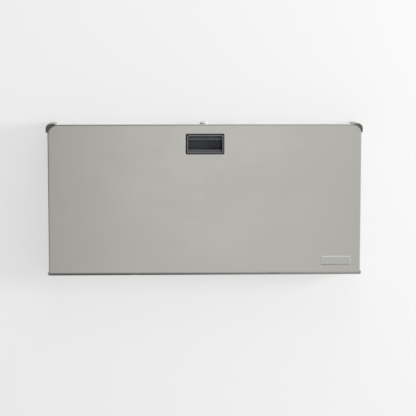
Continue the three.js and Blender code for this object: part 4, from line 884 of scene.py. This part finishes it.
class STATION_OT_bed_tray(StationOperator, bpy.types.Operator):
    """Bed tray: flange, leaning wall and rim carried round a rounded rectangle, and a hollow inside them"""

    bl_idname = "station.bed_tray"
    bl_label = "Bed tray"

    def execute(self, context):
        sizes = context.scene.station_sizes
        # The wall's profile (inset, height) runs round the tub. Inside the rim the height falls by the bowl's
        # depth times the eased distances from all four sides, multiplied together.
        lo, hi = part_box("bed_tray")
        flange = lo.y + sizes.tray_wall
        left, right, low, high = lo.x + FLANGE_X, hi.x - FLANGE_X, lo.z + FLANGE_Z, hi.z - FLANGE_Z
        corners = np.array([(left, low), (right, low), (right, high), (left, high)])
        foot = arc((-FOOT_OUT, FOOT_ROUND), FOOT_ROUND, -90, -6, 6)
        shoulder = arc((SHOULDER_IN, RIM_H - SHOULDER_ROUND), SHOULDER_ROUND, 174, 90, 9)
        inwards = np.concatenate([np.linspace(12 * MM, RIM_W, 4),
                                  RIM_W + np.linspace(0, 1, 31)[1:] * (SLOPES[2] + 4 * MM)])
        level = np.stack([inwards, np.full(len(inwards), RIM_H)], -1)

        def ring(inset, height):
            """The tub's outline moved in, with points along its sides, at its height less the bowl's depth."""
            radius = max(sizes.tray_corner - inset, 3 * MM)
            moved = corners + inset * np.array([(1, 1), (-1, 1), (-1, -1), (1, -1)])
            bends = rounded(moved, radius, CORNER_STEPS).reshape(4, CORNER_STEPS, 2)
            share = np.linspace(0, 1, 60)[None, 1:-1, None]
            ends = bends[:, -1:]
            sides = ends + (np.roll(bends, -1, 0)[:, :1] - ends) * share
            line = np.concatenate([bends, sides], 1).reshape(-1, 2)
            x, z = line.T
            away = np.stack([x - left, right - x, high - z, z - low])
            dip = np.prod(ease((away - RIM_W) / SLOPES[:, None]), 0)
            return stand(line, "y", flange + height - BOWL_D * dip)

        rings = [ring(inset, height) for inset, height in np.concatenate([foot, shoulder, level])]
        outer = rings[0].copy()
        outer[:, 0] += outer[:, 0] * (hi.x - right) / (right + FOOT_OUT) - np.sign(outer[:, 0]) * FOOT_OUT
        half = (high - low) / 2 + FOOT_OUT
        outer[:, 2] += (outer[:, 2] - (lo.z + hi.z) / 2) / half * (FLANGE_Z - FOOT_OUT)
        made = piece("bed_tray_shell", [skin([outer, *rings], ends=(-1,))], "bed", "tray",
                     ["bed_tray"])
        walled = made.modifiers.new("moulded wall", "SOLIDIFY")
        walled.thickness = sizes.tray_wall
        count = len(made.data.polygons)
        areas, normals = np.empty(count), np.empty(3 * count)
        made.data.polygons.foreach_get("area", areas)
        made.data.polygons.foreach_get("normal", normals)
        upward = (areas * normals[1::3]).sum()
        walled.offset = -1 if upward > 0 else 1  # the wall grows towards the panel, however the skin faces
        made.modifiers.move(1, 0)
        return {"FINISHED"}


def strap_lines(sizes):
    """The two halves' routes in the (y, z) plane: out of the tray under the anchor, over its edge, along the
    floor with some slack, and through the buckle. The points are the CAD model's own, in metres."""
    thick = sizes.strap_thickness
    lift = 0.7 * MM
    hump = 6 * MM
    fold = 20 * MM
    tail = 34 * MM
    anchors = [sum(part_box(f"strap_anchor_{name}"), Vector()) / 2 for name in ("upper", "lower")]
    anchor_lo, anchor_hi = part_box("strap_anchor_upper")
    floor = anchor_lo.y - FIT
    buckle_lo, buckle_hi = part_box("buckle_frame")
    lie = floor + lift + thick / 2
    under = buckle_lo.y
    over = under + 2 * MM
    on_plate = over + thick / 2 + 2 * FIT
    top, low = buckle_hi.z, buckle_lo.z
    bar = top - 4 * MM
    slot = 5 * MM
    pin = JOINTS["buckle_press"]["pos_m"][2]

    def from_anchor(anchor_z, way, end_z):
        """Route from under an anchor to the buckle, upwards where way is 1 and downwards where it is -1."""
        turn = 3 * way * thick
        crest = floor + (anchor_hi.y - anchor_lo.y) + 2 * thick
        out = anchor_z + turn
        middle = (out + end_z) / 2
        return [
            (floor - 2 * thick, anchor_z), (floor, anchor_z), (anchor_hi.y - FIT, anchor_z),
            (crest, anchor_z + turn / 2), (crest, anchor_z + 1.5 * turn),
            (lie + hump, (out + middle) / 2 + turn), (lie + hump / 2, middle), (lie, (middle + end_z) / 2),
            (lie, end_z),
        ]

    slot_z = bar - slot / 2
    back_over = lie + thick + 2 * FIT
    upper = from_anchor(anchors[0].z, -1, top + fold) + [
        (lie, top), (lie, bar), ((lie + under) / 2, slot_z + thick / 2), ((under + over) / 2, slot_z),
        ((on_plate + over) / 2, slot_z + thick / 2), (on_plate, bar), (on_plate, top),
        (back_over + lift, top + fold / 2), (back_over, top + fold),
    ]
    over_fold = on_plate + thick + 2 * FIT
    lower = from_anchor(anchors[1].z, 1, low - 6 * thick) + [
        (on_plate, low - thick), (on_plate, low + thick), (on_plate, pin), (over_fold, bar - slot),
        (over_fold + FIT, bar), (over_fold, top), (lie + 3 * thick, top + fold),
        (lie + 2 * thick, top + tail),
    ]
    return np.array(upper), np.array(lower)


def webbing(line, run, width, thickness):
    """A flat band: a section with rounded edges carried along a line, square to it. Also gives its map, along
    and across, in metres."""
    along = unit(np.gradient(line, axis=0))
    normal = np.stack([-along[:, 1], along[:, 0]], -1)
    half = width / 2
    section = rectangle(-half, half, -thickness / 2, thickness / 2, thickness * 0.4, 4)
    yz = line[:, None] + normal[:, None] * section[None, :, 1:]
    x = np.broadcast_to(section[:, 0], yz.shape[:2])
    grid = np.concatenate([x[..., None], yz], -1)
    flat = np.stack([np.broadcast_to(run[:, None], x.shape), x], -1)
    return skin(grid, ends=(0, -1)), flat.reshape(-1, 2)


class STATION_OT_straps(StationOperator, bpy.types.Operator):
    """Safety strap: the upper half is sewn back over the buckle's bar, the lower half runs under its cam"""

    bl_idname = "station.straps"
    bl_label = "Safety strap"

    def execute(self, context):
        sizes = context.scene.station_sizes
        for name, points in zip(("upper", "lower"), strap_lines(sizes)):
            line, run = smooth_line(points, 1.2 * MM)
            surface, flat = webbing(line, run, sizes.strap_width, sizes.strap_thickness)
            piece(f"strap_{name}_webbing", [surface], "bed", "webbing",
                  [f"strap_{name}"], lambda place, flat=flat: flat, merge=False)
        return {"FINISHED"}


class STATION_OT_strap_anchors(StationOperator, bpy.types.Operator):
    """Strap anchors: slotted plates with a rivet at each end"""

    bl_idname = "station.strap_anchors"
    bl_label = "Strap anchors"

    def execute(self, context):
        sizes = context.scene.station_sizes
        play = 1.2 * MM
        rivet = 1.9 * MM
        for name in ("upper", "lower"):
            lo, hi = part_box(f"strap_anchor_{name}")
            middle = (lo.z + hi.z) / 2
            slot_x = sizes.strap_width / 2 + play
            slot_z = sizes.strap_thickness / 2 + play
            slot = rectangle(-slot_x, slot_x, middle - slot_z, middle + slot_z, MM)
            body = ring_plate(rectangle(lo.x, hi.x, lo.z, hi.z, 4 * MM), slot, "y", lo.y, hi.y, MM, 0.8 * MM)
            dome = softened([(0, -MM), (rivet, -MM), (rivet, 0.5 * MM), (0, 0.5 * MM)],
                            np.array([0.2, 0.9]) * MM)
            rivets = [turned(dome, (sign * (hi.x - 3.6 * MM), hi.y - 0.4 * MM, middle), (0, 1, 0), 20)
                      for _, sign in SIDES]
            piece(f"strap_anchor_{name}_shell", [body, *rivets], "bed", "hooks",
                  [f"strap_anchor_{name}"])
        return {"FINISHED"}


class STATION_OT_cam_buckle(StationOperator, bpy.types.Operator):
    """Cam buckle: slotted base with two cheeks, a riveted pin, and the toothed cam with its lever"""

    bl_idname = "station.cam_buckle"
    bl_label = "Cam buckle"

    def execute(self, context):
        lo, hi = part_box("buckle_frame")
        pin = Vector(JOINTS["buckle_press"]["pos_m"])
        cheek = 3 * MM
        base_t = 2 * MM
        bar = 4 * MM
        slot = 5 * MM
        over = lo.y + base_t
        edge = 0.5 * MM
        hole = rectangle(lo.x + cheek, hi.x - cheek, hi.z - bar - slot, hi.z - bar, 0.8 * MM)
        base = ring_plate(rectangle(lo.x, hi.x, lo.z, hi.z, 1.5 * MM), hole, "y", lo.y, over, edge, 0.4 * MM)
        hub = hi.y - pin.y
        side = rounded([(lo.y + 0.4 * MM, lo.z + MM), (over + base_t, lo.z + MM), (hi.y, pin.z - hub),
                        (hi.y, pin.z + hub), (over + base_t, hi.z - MM), (lo.y + 0.4 * MM, hi.z - MM)],
                       np.array([0.4, 3, 4, 4, 3, 0.4]) * MM)
        cheeks = [plate(side, "x", *sorted((sign * (hi.x - cheek), sign * hi.x)), edge) for _, sign in SIDES]
        piece("buckle_frame_shell", [base, *cheeks], "bed", "buckle", ["buckle_frame"])

        radius = 1.8 * MM
        half = hi.x
        rivet = softened([(0, -half), (radius, -half), (radius, half), (0, half)], 0.6 * MM)
        piece("buckle_pin_shell", [turned(rivet, pin, (1, 0, 0), 24)], "bed",
              "chrome", ["buckle_pin"])

        cam_lo, cam_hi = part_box("buckle_cam")
        face = pin.y + hub
        thick = 3 * MM
        tip = cam_hi.z
        knee = tip - 9 * MM
        loop = rounded([
            (face, pin.z - hub), (face, knee), (face + thick / 2, tip), (face - thick / 2, tip),
            (face - thick, knee), (face - thick, pin.z + hub + 0.6 * MM), (cam_lo.y, pin.z + hub),
            (cam_lo.y, pin.z - hub),
        ], np.array([4, 9, 1.1, 1.1, 9, 1.2, 3.6, 4]) * MM)
        lever = plate(loop, "x", cam_lo.x, cam_hi.x, 0.6 * MM)
        pitch = 3.2 * MM
        grips = [plate(circle((face - 0.15 * MM, knee - step * pitch), 0.7 * MM, 14), "x", cam_lo.x + 4 * MM,
                       cam_hi.x - 4 * MM, 0.5 * MM) for step in range(4)]
        piece("buckle_lever_shell", [lever, *grips], "buckle_lever", "buckle",
              ["buckle_cam"])
        return {"FINISHED"}


# Gas struts


class STATION_OT_gas_struts(StationOperator, bpy.types.Operator):
    """Gas struts: painted cylinder with its upper eye, and chromed rod with its lower eye"""

    bl_idname = "station.gas_struts"
    bl_label = "Gas struts"

    def execute(self, context):
        eye_half = 5 * MM
        hole = 4.3 * MM
        neck = 14 * MM
        radius = 8 * MM
        rod = 4 * MM
        shown = 89 * MM  # of the rod, with the bed shut
        hidden = 80 * MM
        for side, _ in SIDES:
            pivot = Vector(JOINTS[f"strut_swing_{side}"]["pos_m"])
            way = Vector(JOINTS[f"strut_stroke_{side}"]["axis"])
            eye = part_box(f"strut_cylinder_{side}")[1].z - pivot.z
            long = (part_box(f"strut_rod_{side}")[0].z + eye - pivot.z) / way.z
            gland = long - neck - shown
            eyes = [ring_plate(circle((centre.y, centre.z), eye), circle((centre.y, centre.z), hole), "x",
                               centre.x - eye_half, centre.x + eye_half, 1.2 * MM, 0.4 * MM)
                    for centre in (pivot, pivot + way * long)]
            barrel = softened([
                (0, eye - MM), (eye_half, eye - MM), (eye_half, neck), (radius, neck), (radius, gland),
                (0, gland),
            ], np.array([0.3, 1.5, 1.6, 1.4]) * MM)
            piece(f"strut_tube_{side}_shell", [eyes[0], turned(barrel, pivot, way)], f"strut_tube_{side}",
                  "strut", [f"strut_cylinder_{side}"])
            shaft = softened([
                (0, gland - hidden), (rod, gland - hidden), (rod, long - neck - MM), (eye_half, long - neck),
                (eye_half, long - eye + MM), (0, long - eye + MM),
            ], np.array([0.3, 0.4, 0.4, 0.3]) * MM)
            piece(f"strut_rod_{side}_shell", [eyes[1], turned(shaft, pivot, way)], f"strut_shaft_{side}",
                  "chrome", [f"strut_rod_{side}"])
        return {"FINISHED"}


# Liner bin, hooks, bumpers, screws and lock


class STATION_OT_liner_bin(StationOperator, bpy.types.Operator):
    """Liner bin: front wall with its dispensing slot, floor, and side walls with flanges"""

    bl_idname = "station.liner_bin"
    bl_label = "Liner bin"

    def execute(self, context):
        lo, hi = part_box("liner_bin")
        wall = 3 * MM
        half = hi.x - 15 * MM
        slot_half = 110 * MM
        slot_low = lo.z + wall + 7 * MM
        slot = rectangle(-slot_half, slot_half, slot_low, slot_low + 30 * MM, 10 * MM)
        edge = 1.4 * MM
        front = ring_plate(rectangle(-half, half, lo.z, hi.z, 3 * MM), slot, "y", lo.y, lo.y + wall, edge, edge)
        joint = lo.y + wall - MM  # floor and side walls reach 1 mm into the front wall
        floor = plate(rectangle(MM - half, half - MM, joint, hi.y, 0.5 * MM), "z", lo.z + 0.2 * MM,
                      lo.z + wall, 0.3 * MM)
        plan = rounded([
            (half - wall, joint), (half, joint), (half, hi.y - wall), (hi.x, hi.y - wall), (hi.x, hi.y),
            (half - wall, hi.y),
        ], np.array([0.3, 0.3, 2, 1, 0.3, 0.3]) * MM)
        walls = [plate(plan * (sign, 1), "z", lo.z, hi.z, 0.8 * MM) for _, sign in SIDES]
        catch_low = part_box("lock_cam")[1].z + 2 * FIT
        catch_half = 15 * MM
        catch = plate(rectangle(-catch_half, catch_half, lo.y + MM, lo.y + wall + 4.5 * MM, 0.8 * MM), "z",
                      catch_low, catch_low + 4 * MM, 0.4 * MM)
        piece("liner_bin_shell", [front, floor, catch, *walls], "case", "bin",
              ["liner_bin"])
        return {"FINISHED"}


class STATION_OT_bag_hooks(StationOperator, bpy.types.Operator):
    """Bag hooks: a rounded base plate and an upturned arm"""

    bl_idname = "station.bag_hooks"
    bl_label = "Bag hooks"

    def execute(self, context):
        base_t = 3 * MM
        thick = 7 * MM
        rise = 24 * MM
        arm_half = 6 * MM
        for side, _ in SIDES:
            lo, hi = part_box(f"bag_hook_{side}")
            x = (lo.x + hi.x) / 2
            root = (lo.z + hi.z) / 2 - (hi.z - lo.z) / 4
            face = hi.y - base_t
            base = plate(rectangle(lo.x, hi.x, lo.z, hi.z, 6 * MM), "y", face, hi.y, 1.2 * MM, 0.2 * MM)
            arm = rounded([
                (hi.y - MM, root - thick), (hi.y - MM, root + thick / 2), (face - thick / 2, root),
                (lo.y + thick, root), (lo.y + thick, root + rise), (lo.y, root + rise), (lo.y, root - thick),
            ], np.array([0.3, 0.3, 3, 5, 3.2, 3.2, 9]) * MM, 9)
            hook = plate(arm, "x", x - arm_half, x + arm_half, 2.2 * MM)
            piece(f"bag_hook_{side}_shell", [base, hook], "case", "hooks", [f"bag_hook_{side}"])
        return {"FINISHED"}


class STATION_OT_bumpers(StationOperator, bpy.types.Operator):
    """Rubber bumpers: a flared foot and a post with a rounded tip"""

    bl_idname = "station.bumpers"
    bl_label = "Bumpers"

    def execute(self, context):
        for side, _ in SIDES:
            lo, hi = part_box(f"bumper_{side}")
            tall = hi.y - lo.y
            foot = (hi.x - lo.x) / 2
            post = 8 * MM
            profile = softened([(0, 0), (foot, 0), (foot, 4 * MM), (post, 6 * MM), (post, tall), (0, tall)],
                               np.array([0.3, 1.2, 2.5, 3]) * MM, 6)
            origin = ((lo.x + hi.x) / 2, hi.y, (lo.z + hi.z) / 2)
            piece(f"bumper_{side}_shell", [turned(profile, origin, (0, -1, 0))], "case",
                  "rubber", [f"bumper_{side}"])
        return {"FINISHED"}


def pan_screw(seat, top, shank_end, x, z, head):
    """A pan-head screw along y: a domed head, and a cross-shaped recess whose rings have the radius
    r (0.34 + 0.66 |cos 2a| ** 4) at the angle a."""
    tall = top - seat
    drive = 0.52 * head
    shaft = 0.44 * head
    crown = 0.45 * tall
    rows = [(0, shank_end - seat, 0), (shaft, shank_end - seat, 0), (shaft, 0, 0), (head, 0, 0),
            (head, tall - 2 * crown, 0)]
    rows += [(head - abs(crown) * (1 - math.cos(a)), tall - crown + crown * math.sin(a), 0)
             for a in quarter(5)]
    rows += [(drive, tall, 1), (drive * 0.85, tall * 0.45, 1), (0, tall * 0.3, 1)]
    radius, height, crossed = np.array(rows).T
    angle = np.linspace(0, 2 * np.pi, 40, endpoint=False)
    cross = 0.34 + 0.66 * np.abs(np.cos(2 * angle)) ** 4
    reach = radius[:, None] * np.where(crossed[:, None] > 0, cross, 1.0)
    grid = np.stack([x + reach * np.cos(angle), np.broadcast_to(seat + height[:, None], reach.shape),
                     z + reach * np.sin(angle)], -1)
    return skin(grid)


class STATION_OT_screws(StationOperator, bpy.types.Operator):
    """Pan-head screws in the tray's flanges and the bin's flanges"""

    bl_idname = "station.screws"
    bl_label = "Screws"

    def execute(self, context):
        tray = [(f"tray_screw_{side}_{i}", "bed", 1) for side, _ in SIDES for i in (1, 2, 3)]
        bin_screws = [(f"bin_screw_{i}", "case", -1) for i in (1, 2, 3, 4)]
        head = 2.5 * MM
        for name, body, facing in tray + bin_screws:
            lo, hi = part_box(name)
            top, end = (hi.y, lo.y) if facing > 0 else (lo.y, hi.y)
            surface = pan_screw(top - facing * head, top, end, (lo.x + hi.x) / 2, (lo.z + hi.z) / 2,
                                (hi.x - lo.x) / 2)
            piece(f"{name}_head", [surface], body, "zinc", [name])
        return {"FINISHED"}


class STATION_OT_cam_lock(StationOperator, bpy.types.Operator):
    """Cam lock: turned barrel with a sloping collar, and the plug with its key slot"""

    bl_idname = "station.cam_lock"
    bl_label = "Cam lock"

    def execute(self, context):
        axis = Vector(JOINTS["lock_turn"]["pos_m"])
        lo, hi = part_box("lock_barrel")
        collar = (hi.x - lo.x) / 2
        body = 8 * MM
        bore = 6.3 * MM
        seat = axis.z + FIT
        profile = rounded([
            (bore, lo.z), (body, lo.z), (body, seat), (collar, seat), (collar, seat + 1.6 * MM),
            (bore + 2 * MM, hi.z), (bore, hi.z),
        ], np.array([0.3, 0.4, 0.2, 0.4, 1.2, 1.5, 0.4]) * MM)
        barrel = turned(profile, (axis.x, axis.y, 0), (0, 0, 1), hollow=True)
        piece("lock_barrel_shell", [barrel], "hatch", "lock", ["lock_barrel"])

        plug_lo, plug_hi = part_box("lock_plug")
        radius = 6 * MM
        angle = np.linspace(0, 2 * np.pi, 64, endpoint=False)
        spokes = np.stack([np.cos(angle), np.sin(angle)], -1)
        slot = spokes * np.min(np.array([3.5, 0.8]) * MM / np.maximum(np.abs(spokes), 1e-6), 1, keepdims=True)
        stub = 3 * MM
        cam_lo, cam_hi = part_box("lock_cam")
        rows = [(stub + MM, plug_lo.z), (stub + MM, cam_lo.z - FIT), (stub, cam_lo.z - FIT), (stub, cam_hi.z),
                (radius, cam_hi.z + FIT), (radius, plug_hi.z - 0.5 * MM), (radius - 0.5 * MM, plug_hi.z)]
        rings = [stand(spokes * r, "z", z) for r, z in rows]
        rings += [stand(slot * 1.12, "z", plug_hi.z), stand(slot, "z", plug_hi.z - 0.3 * MM),
                  stand(slot, "z", plug_hi.z - 4 * MM)]
        grid = np.array(rings) + (axis.x, axis.y, 0)
        piece("lock_plug_shell", [skin(grid, ends=(0, -1))], "lock", "zinc", ["lock_plug"])
        return {"FINISHED"}


class STATION_OT_case_finishes(StationOperator, bpy.types.Operator):
    """Finishes of the CAD pieces that keep their own shape: case sheets, hatch, rod and brackets"""

    bl_idname = "station.case_finishes"
    bl_label = "Case finishes"

    def execute(self, context):
        kept = {
            "case": ["back_plate", "bottom_panel", "hatch_frame"],
            "top": ["top_panel", "liner_hatch", "hatch_hinge_left", "hatch_hinge_right"],
            "side": ["side_panel_left", "side_panel_right", "stiffener_left", "stiffener_right"],
            "rod": ["hinge_rod"],
            "zinc": ["hatch_pin_left", "hatch_pin_right", "lock_nut", "lock_cam", "strut_upper_bracket_left",
                     "strut_upper_bracket_right", "strut_lower_bracket_left", "strut_lower_bracket_right"],
        }
        for coat, nodes in kept.items():
            for node in nodes:
                mesh = frame["nodes"][node].data
                mesh.materials.clear()
                mesh.materials.append(finish(coat))
        return {"FINISHED"}


# Stage

CAMERA_PLACE = Vector((-137.6, -4222.3, 429.9)) * MM
CAMERA_YAW, CAMERA_PITCH, CAMERA_ROLL = (math.radians(angle) for angle in (2.03, 6.256, 0.028))
FRAME_PX = 416
FOCAL_PX = 1453.9
FLOOR_Z = -1.04  # the hinge is about 0.83 m above the floor, so that the open bed is at working height


def backdrop(name, corners, base, whole):
    """A plain surface of the stage. Most of its white is its own light, which keeps the station's shadow on it
    pale. Where it isn't whole, only the camera and mirrored rays from in front of it see it, so that it neither
    hides nor shades the station in views from behind."""
    mesh = bpy.data.meshes.new(name)
    mesh.from_pydata(corners, [], [(0, 1, 2, 3)])
    made = bpy.data.materials.new(name)
    made.use_nodes = True
    tree = made.node_tree
    tree.nodes.clear()
    matt = add(tree, "BsdfDiffuse", {"Color": base})["BSDF"]
    glow = add(tree, "Emission", {"Color": base, "Strength": 1.0})["Emission"]
    paint = add(tree, "MixShader", {0: 0.7, 1: matt, 2: glow})["Shader"]
    if not whole:
        ray = add(tree, "LightPath")
        behind = add(tree, "NewGeometry")["Backfacing"]
        seen = ray["Is Camera Ray"]
        for kind in ("Is Glossy Ray", "Is Transmission Ray"):
            seen = add(tree, "Math", {0: seen, 1: ray[kind]}, operation="MAXIMUM")["Value"]
        apart = add(tree, "Math", {0: ray["Ray Length"], 1: 12 * MM}, operation="GREATER_THAN")
        shown = add(tree, "Math", {0: seen, 1: apart["Value"]}, operation="MULTIPLY")
        shown = add(tree, "Math", {0: shown["Value"], 1: behind}, operation="SUBTRACT",
                    use_clamp=True)
        clear = add(tree, "BsdfTransparent")["BSDF"]
        paint = add(tree, "MixShader", {0: shown["Value"], 1: clear, 2: paint})["Shader"]
    add(tree, "OutputMaterial", {"Surface": paint})
    mesh.materials.append(made)
    plane = bpy.data.objects.new(name, mesh)
    bpy.context.scene.collection.objects.link(plane)


def soft_lamp(name, place, target, width, height, watts):
    """A large area lamp that faces a target."""
    lamp = bpy.data.lights.new(name, "AREA")
    lamp.shape = "RECTANGLE"
    lamp.size = width
    lamp.size_y = height
    lamp.energy = watts
    made = bpy.data.objects.new(name, lamp)
    made.location = place
    made.rotation_euler = (Vector(target) - Vector(place)).to_track_quat("-Z", "Y").to_euler()
    made.visible_glossy = False  # the brushed sheet mirrors the room and no hot spot of the lamp
    bpy.context.scene.collection.objects.link(made)


class STATION_OT_stage(bpy.types.Operator):
    """Wall, floor, soft light and the camera at the photograph's angle"""

    bl_idname = "station.stage"
    bl_label = "Stage"
    bl_options = {"REGISTER", "UNDO"}

    def execute(self, context):
        scene = context.scene
        scene.view_settings.view_transform = "Standard"

        forward = Vector((math.sin(CAMERA_YAW) * math.cos(CAMERA_PITCH),
                          math.cos(CAMERA_YAW) * math.cos(CAMERA_PITCH), -math.sin(CAMERA_PITCH)))
        level = Vector((math.cos(CAMERA_YAW), -math.sin(CAMERA_YAW), 0))
        right = level * math.cos(CAMERA_ROLL) + level.cross(forward) * math.sin(CAMERA_ROLL)
        lens = bpy.data.cameras.new("camera")
        lens.sensor_width = 36
        lens.lens = lens.sensor_width * FOCAL_PX / FRAME_PX
        camera = bpy.data.objects.new("camera", lens)
        turn = Matrix((right, right.cross(forward), -forward)).transposed().to_4x4()
        camera.matrix_world = Matrix.Translation(CAMERA_PLACE) @ turn
        scene.collection.objects.link(camera)
        scene.camera = camera

        far = 12
        wall_y = MM
        backdrop("wall", [(-far, wall_y, FLOOR_Z), (far, wall_y, FLOOR_Z), (far, wall_y, far), (-far, wall_y, far)],
                 linear("e9e9e9"), False)
        near = -5  # the floor ends behind the camera, so that the panel mirrors the room more than the floor
        backdrop("floor", [(-far, near, FLOOR_Z), (far, near, FLOOR_Z), (far, far, FLOOR_Z), (-far, far, FLOOR_Z)],
                 linear("dcdcdb"), True)

        world = bpy.data.worlds.new("soft studio")
        scene.world = world
        world.use_nodes = True
        tree = world.node_tree
        tree.nodes.clear()
        # A room's light: brightest a little right of the middle and dim on the left, less of it above the horizon,
        # and bright at the far right
        way = add(tree, "SeparateXYZ", {0: add(tree, "TexCoord")["Generated"]})
        level = add(tree, "Math", {0: add(tree, "MapRange", (way["X"], -0.16, 0.02, 0.12, 1.72))["Result"],
                                             1: add(tree, "MapRange", (way["X"], 0.04, 0.16, 1.0, 0.52))["Result"]},
                    operation="MULTIPLY")["Value"]
        strength = add(tree, "Math", {0: level, 1: add(tree, "MapRange", (way["Z"], 0.06, 0.25, 1.0, 0.65))["Result"]},
                       operation="MULTIPLY")["Value"]
        for side, added, start, stop in (("Z", 0.2, 0.7, 0.92), ("X", 0.8, 0.45, 0.8)):
            strength = add(tree, "Math", {0: strength, 1: add(tree, "MapRange", (way[side], start, stop, 0.0, added))["Result"]},
                           operation="ADD")["Value"]
        sky = add(tree, "Background", {"Color": linear("ffffff"), "Strength": strength})
        add(tree, "OutputWorld", {"Surface": sky["Background"]})

        middle = (0, 0, 0)
        soft_lamp("key", (3.6, -1.8, 0.5), middle, 1.4, 1.2, 175)
        soft_lamp("top", (0.3, -1.2, 2.6), middle, 2.0, 1.5, 30)
        return {"FINISHED"}


PIECES = (
    STATION_OT_front_panel, STATION_OT_pull_handle, STATION_OT_name_plate, STATION_OT_corner_caps,
    STATION_OT_bed_hinge, STATION_OT_bed_tray, STATION_OT_straps, STATION_OT_strap_anchors,
    STATION_OT_cam_buckle, STATION_OT_gas_struts, STATION_OT_liner_bin, STATION_OT_bag_hooks,
    STATION_OT_bumpers, STATION_OT_screws, STATION_OT_cam_lock, STATION_OT_case_finishes,
)
OPERATORS = (STATION_OT_stage, *PIECES)


class STATION_PT_sidebar(bpy.types.Panel):
    """Lists the station's pieces and its settings"""

    bl_idname = "STATION_PT_sidebar"
    bl_label = "Changing station"
    bl_space_type = "VIEW_3D"
    bl_region_type = "UI"
    bl_category = "Changing station"

    def draw(self, context):
        for operator in OPERATORS:
            self.layout.operator(operator.bl_idname)
        for group in (context.scene.station_sizes, context.scene.station_colours):
            for name in group.__annotations__:
                self.layout.prop(group, name)


CLASSES = (StationSizes, StationColours, *OPERATORS, STATION_PT_sidebar)


def register():
    for made in CLASSES:
        bpy.utils.register_class(made)
    bpy.types.Scene.station_sizes = PointerProperty(type=StationSizes)
    bpy.types.Scene.station_colours = PointerProperty(type=StationColours)


def unregister():
    del bpy.types.Scene.station_colours
    del bpy.types.Scene.station_sizes
    for made in reversed(CLASSES):
        bpy.utils.unregister_class(made)


def main():
    """Builds the stage and every piece in order."""
    register()
    for operator in OPERATORS:
        getattr(bpy.ops.station, operator.bl_idname.split(".")[1])()


if __name__ == "__main__":
    main()
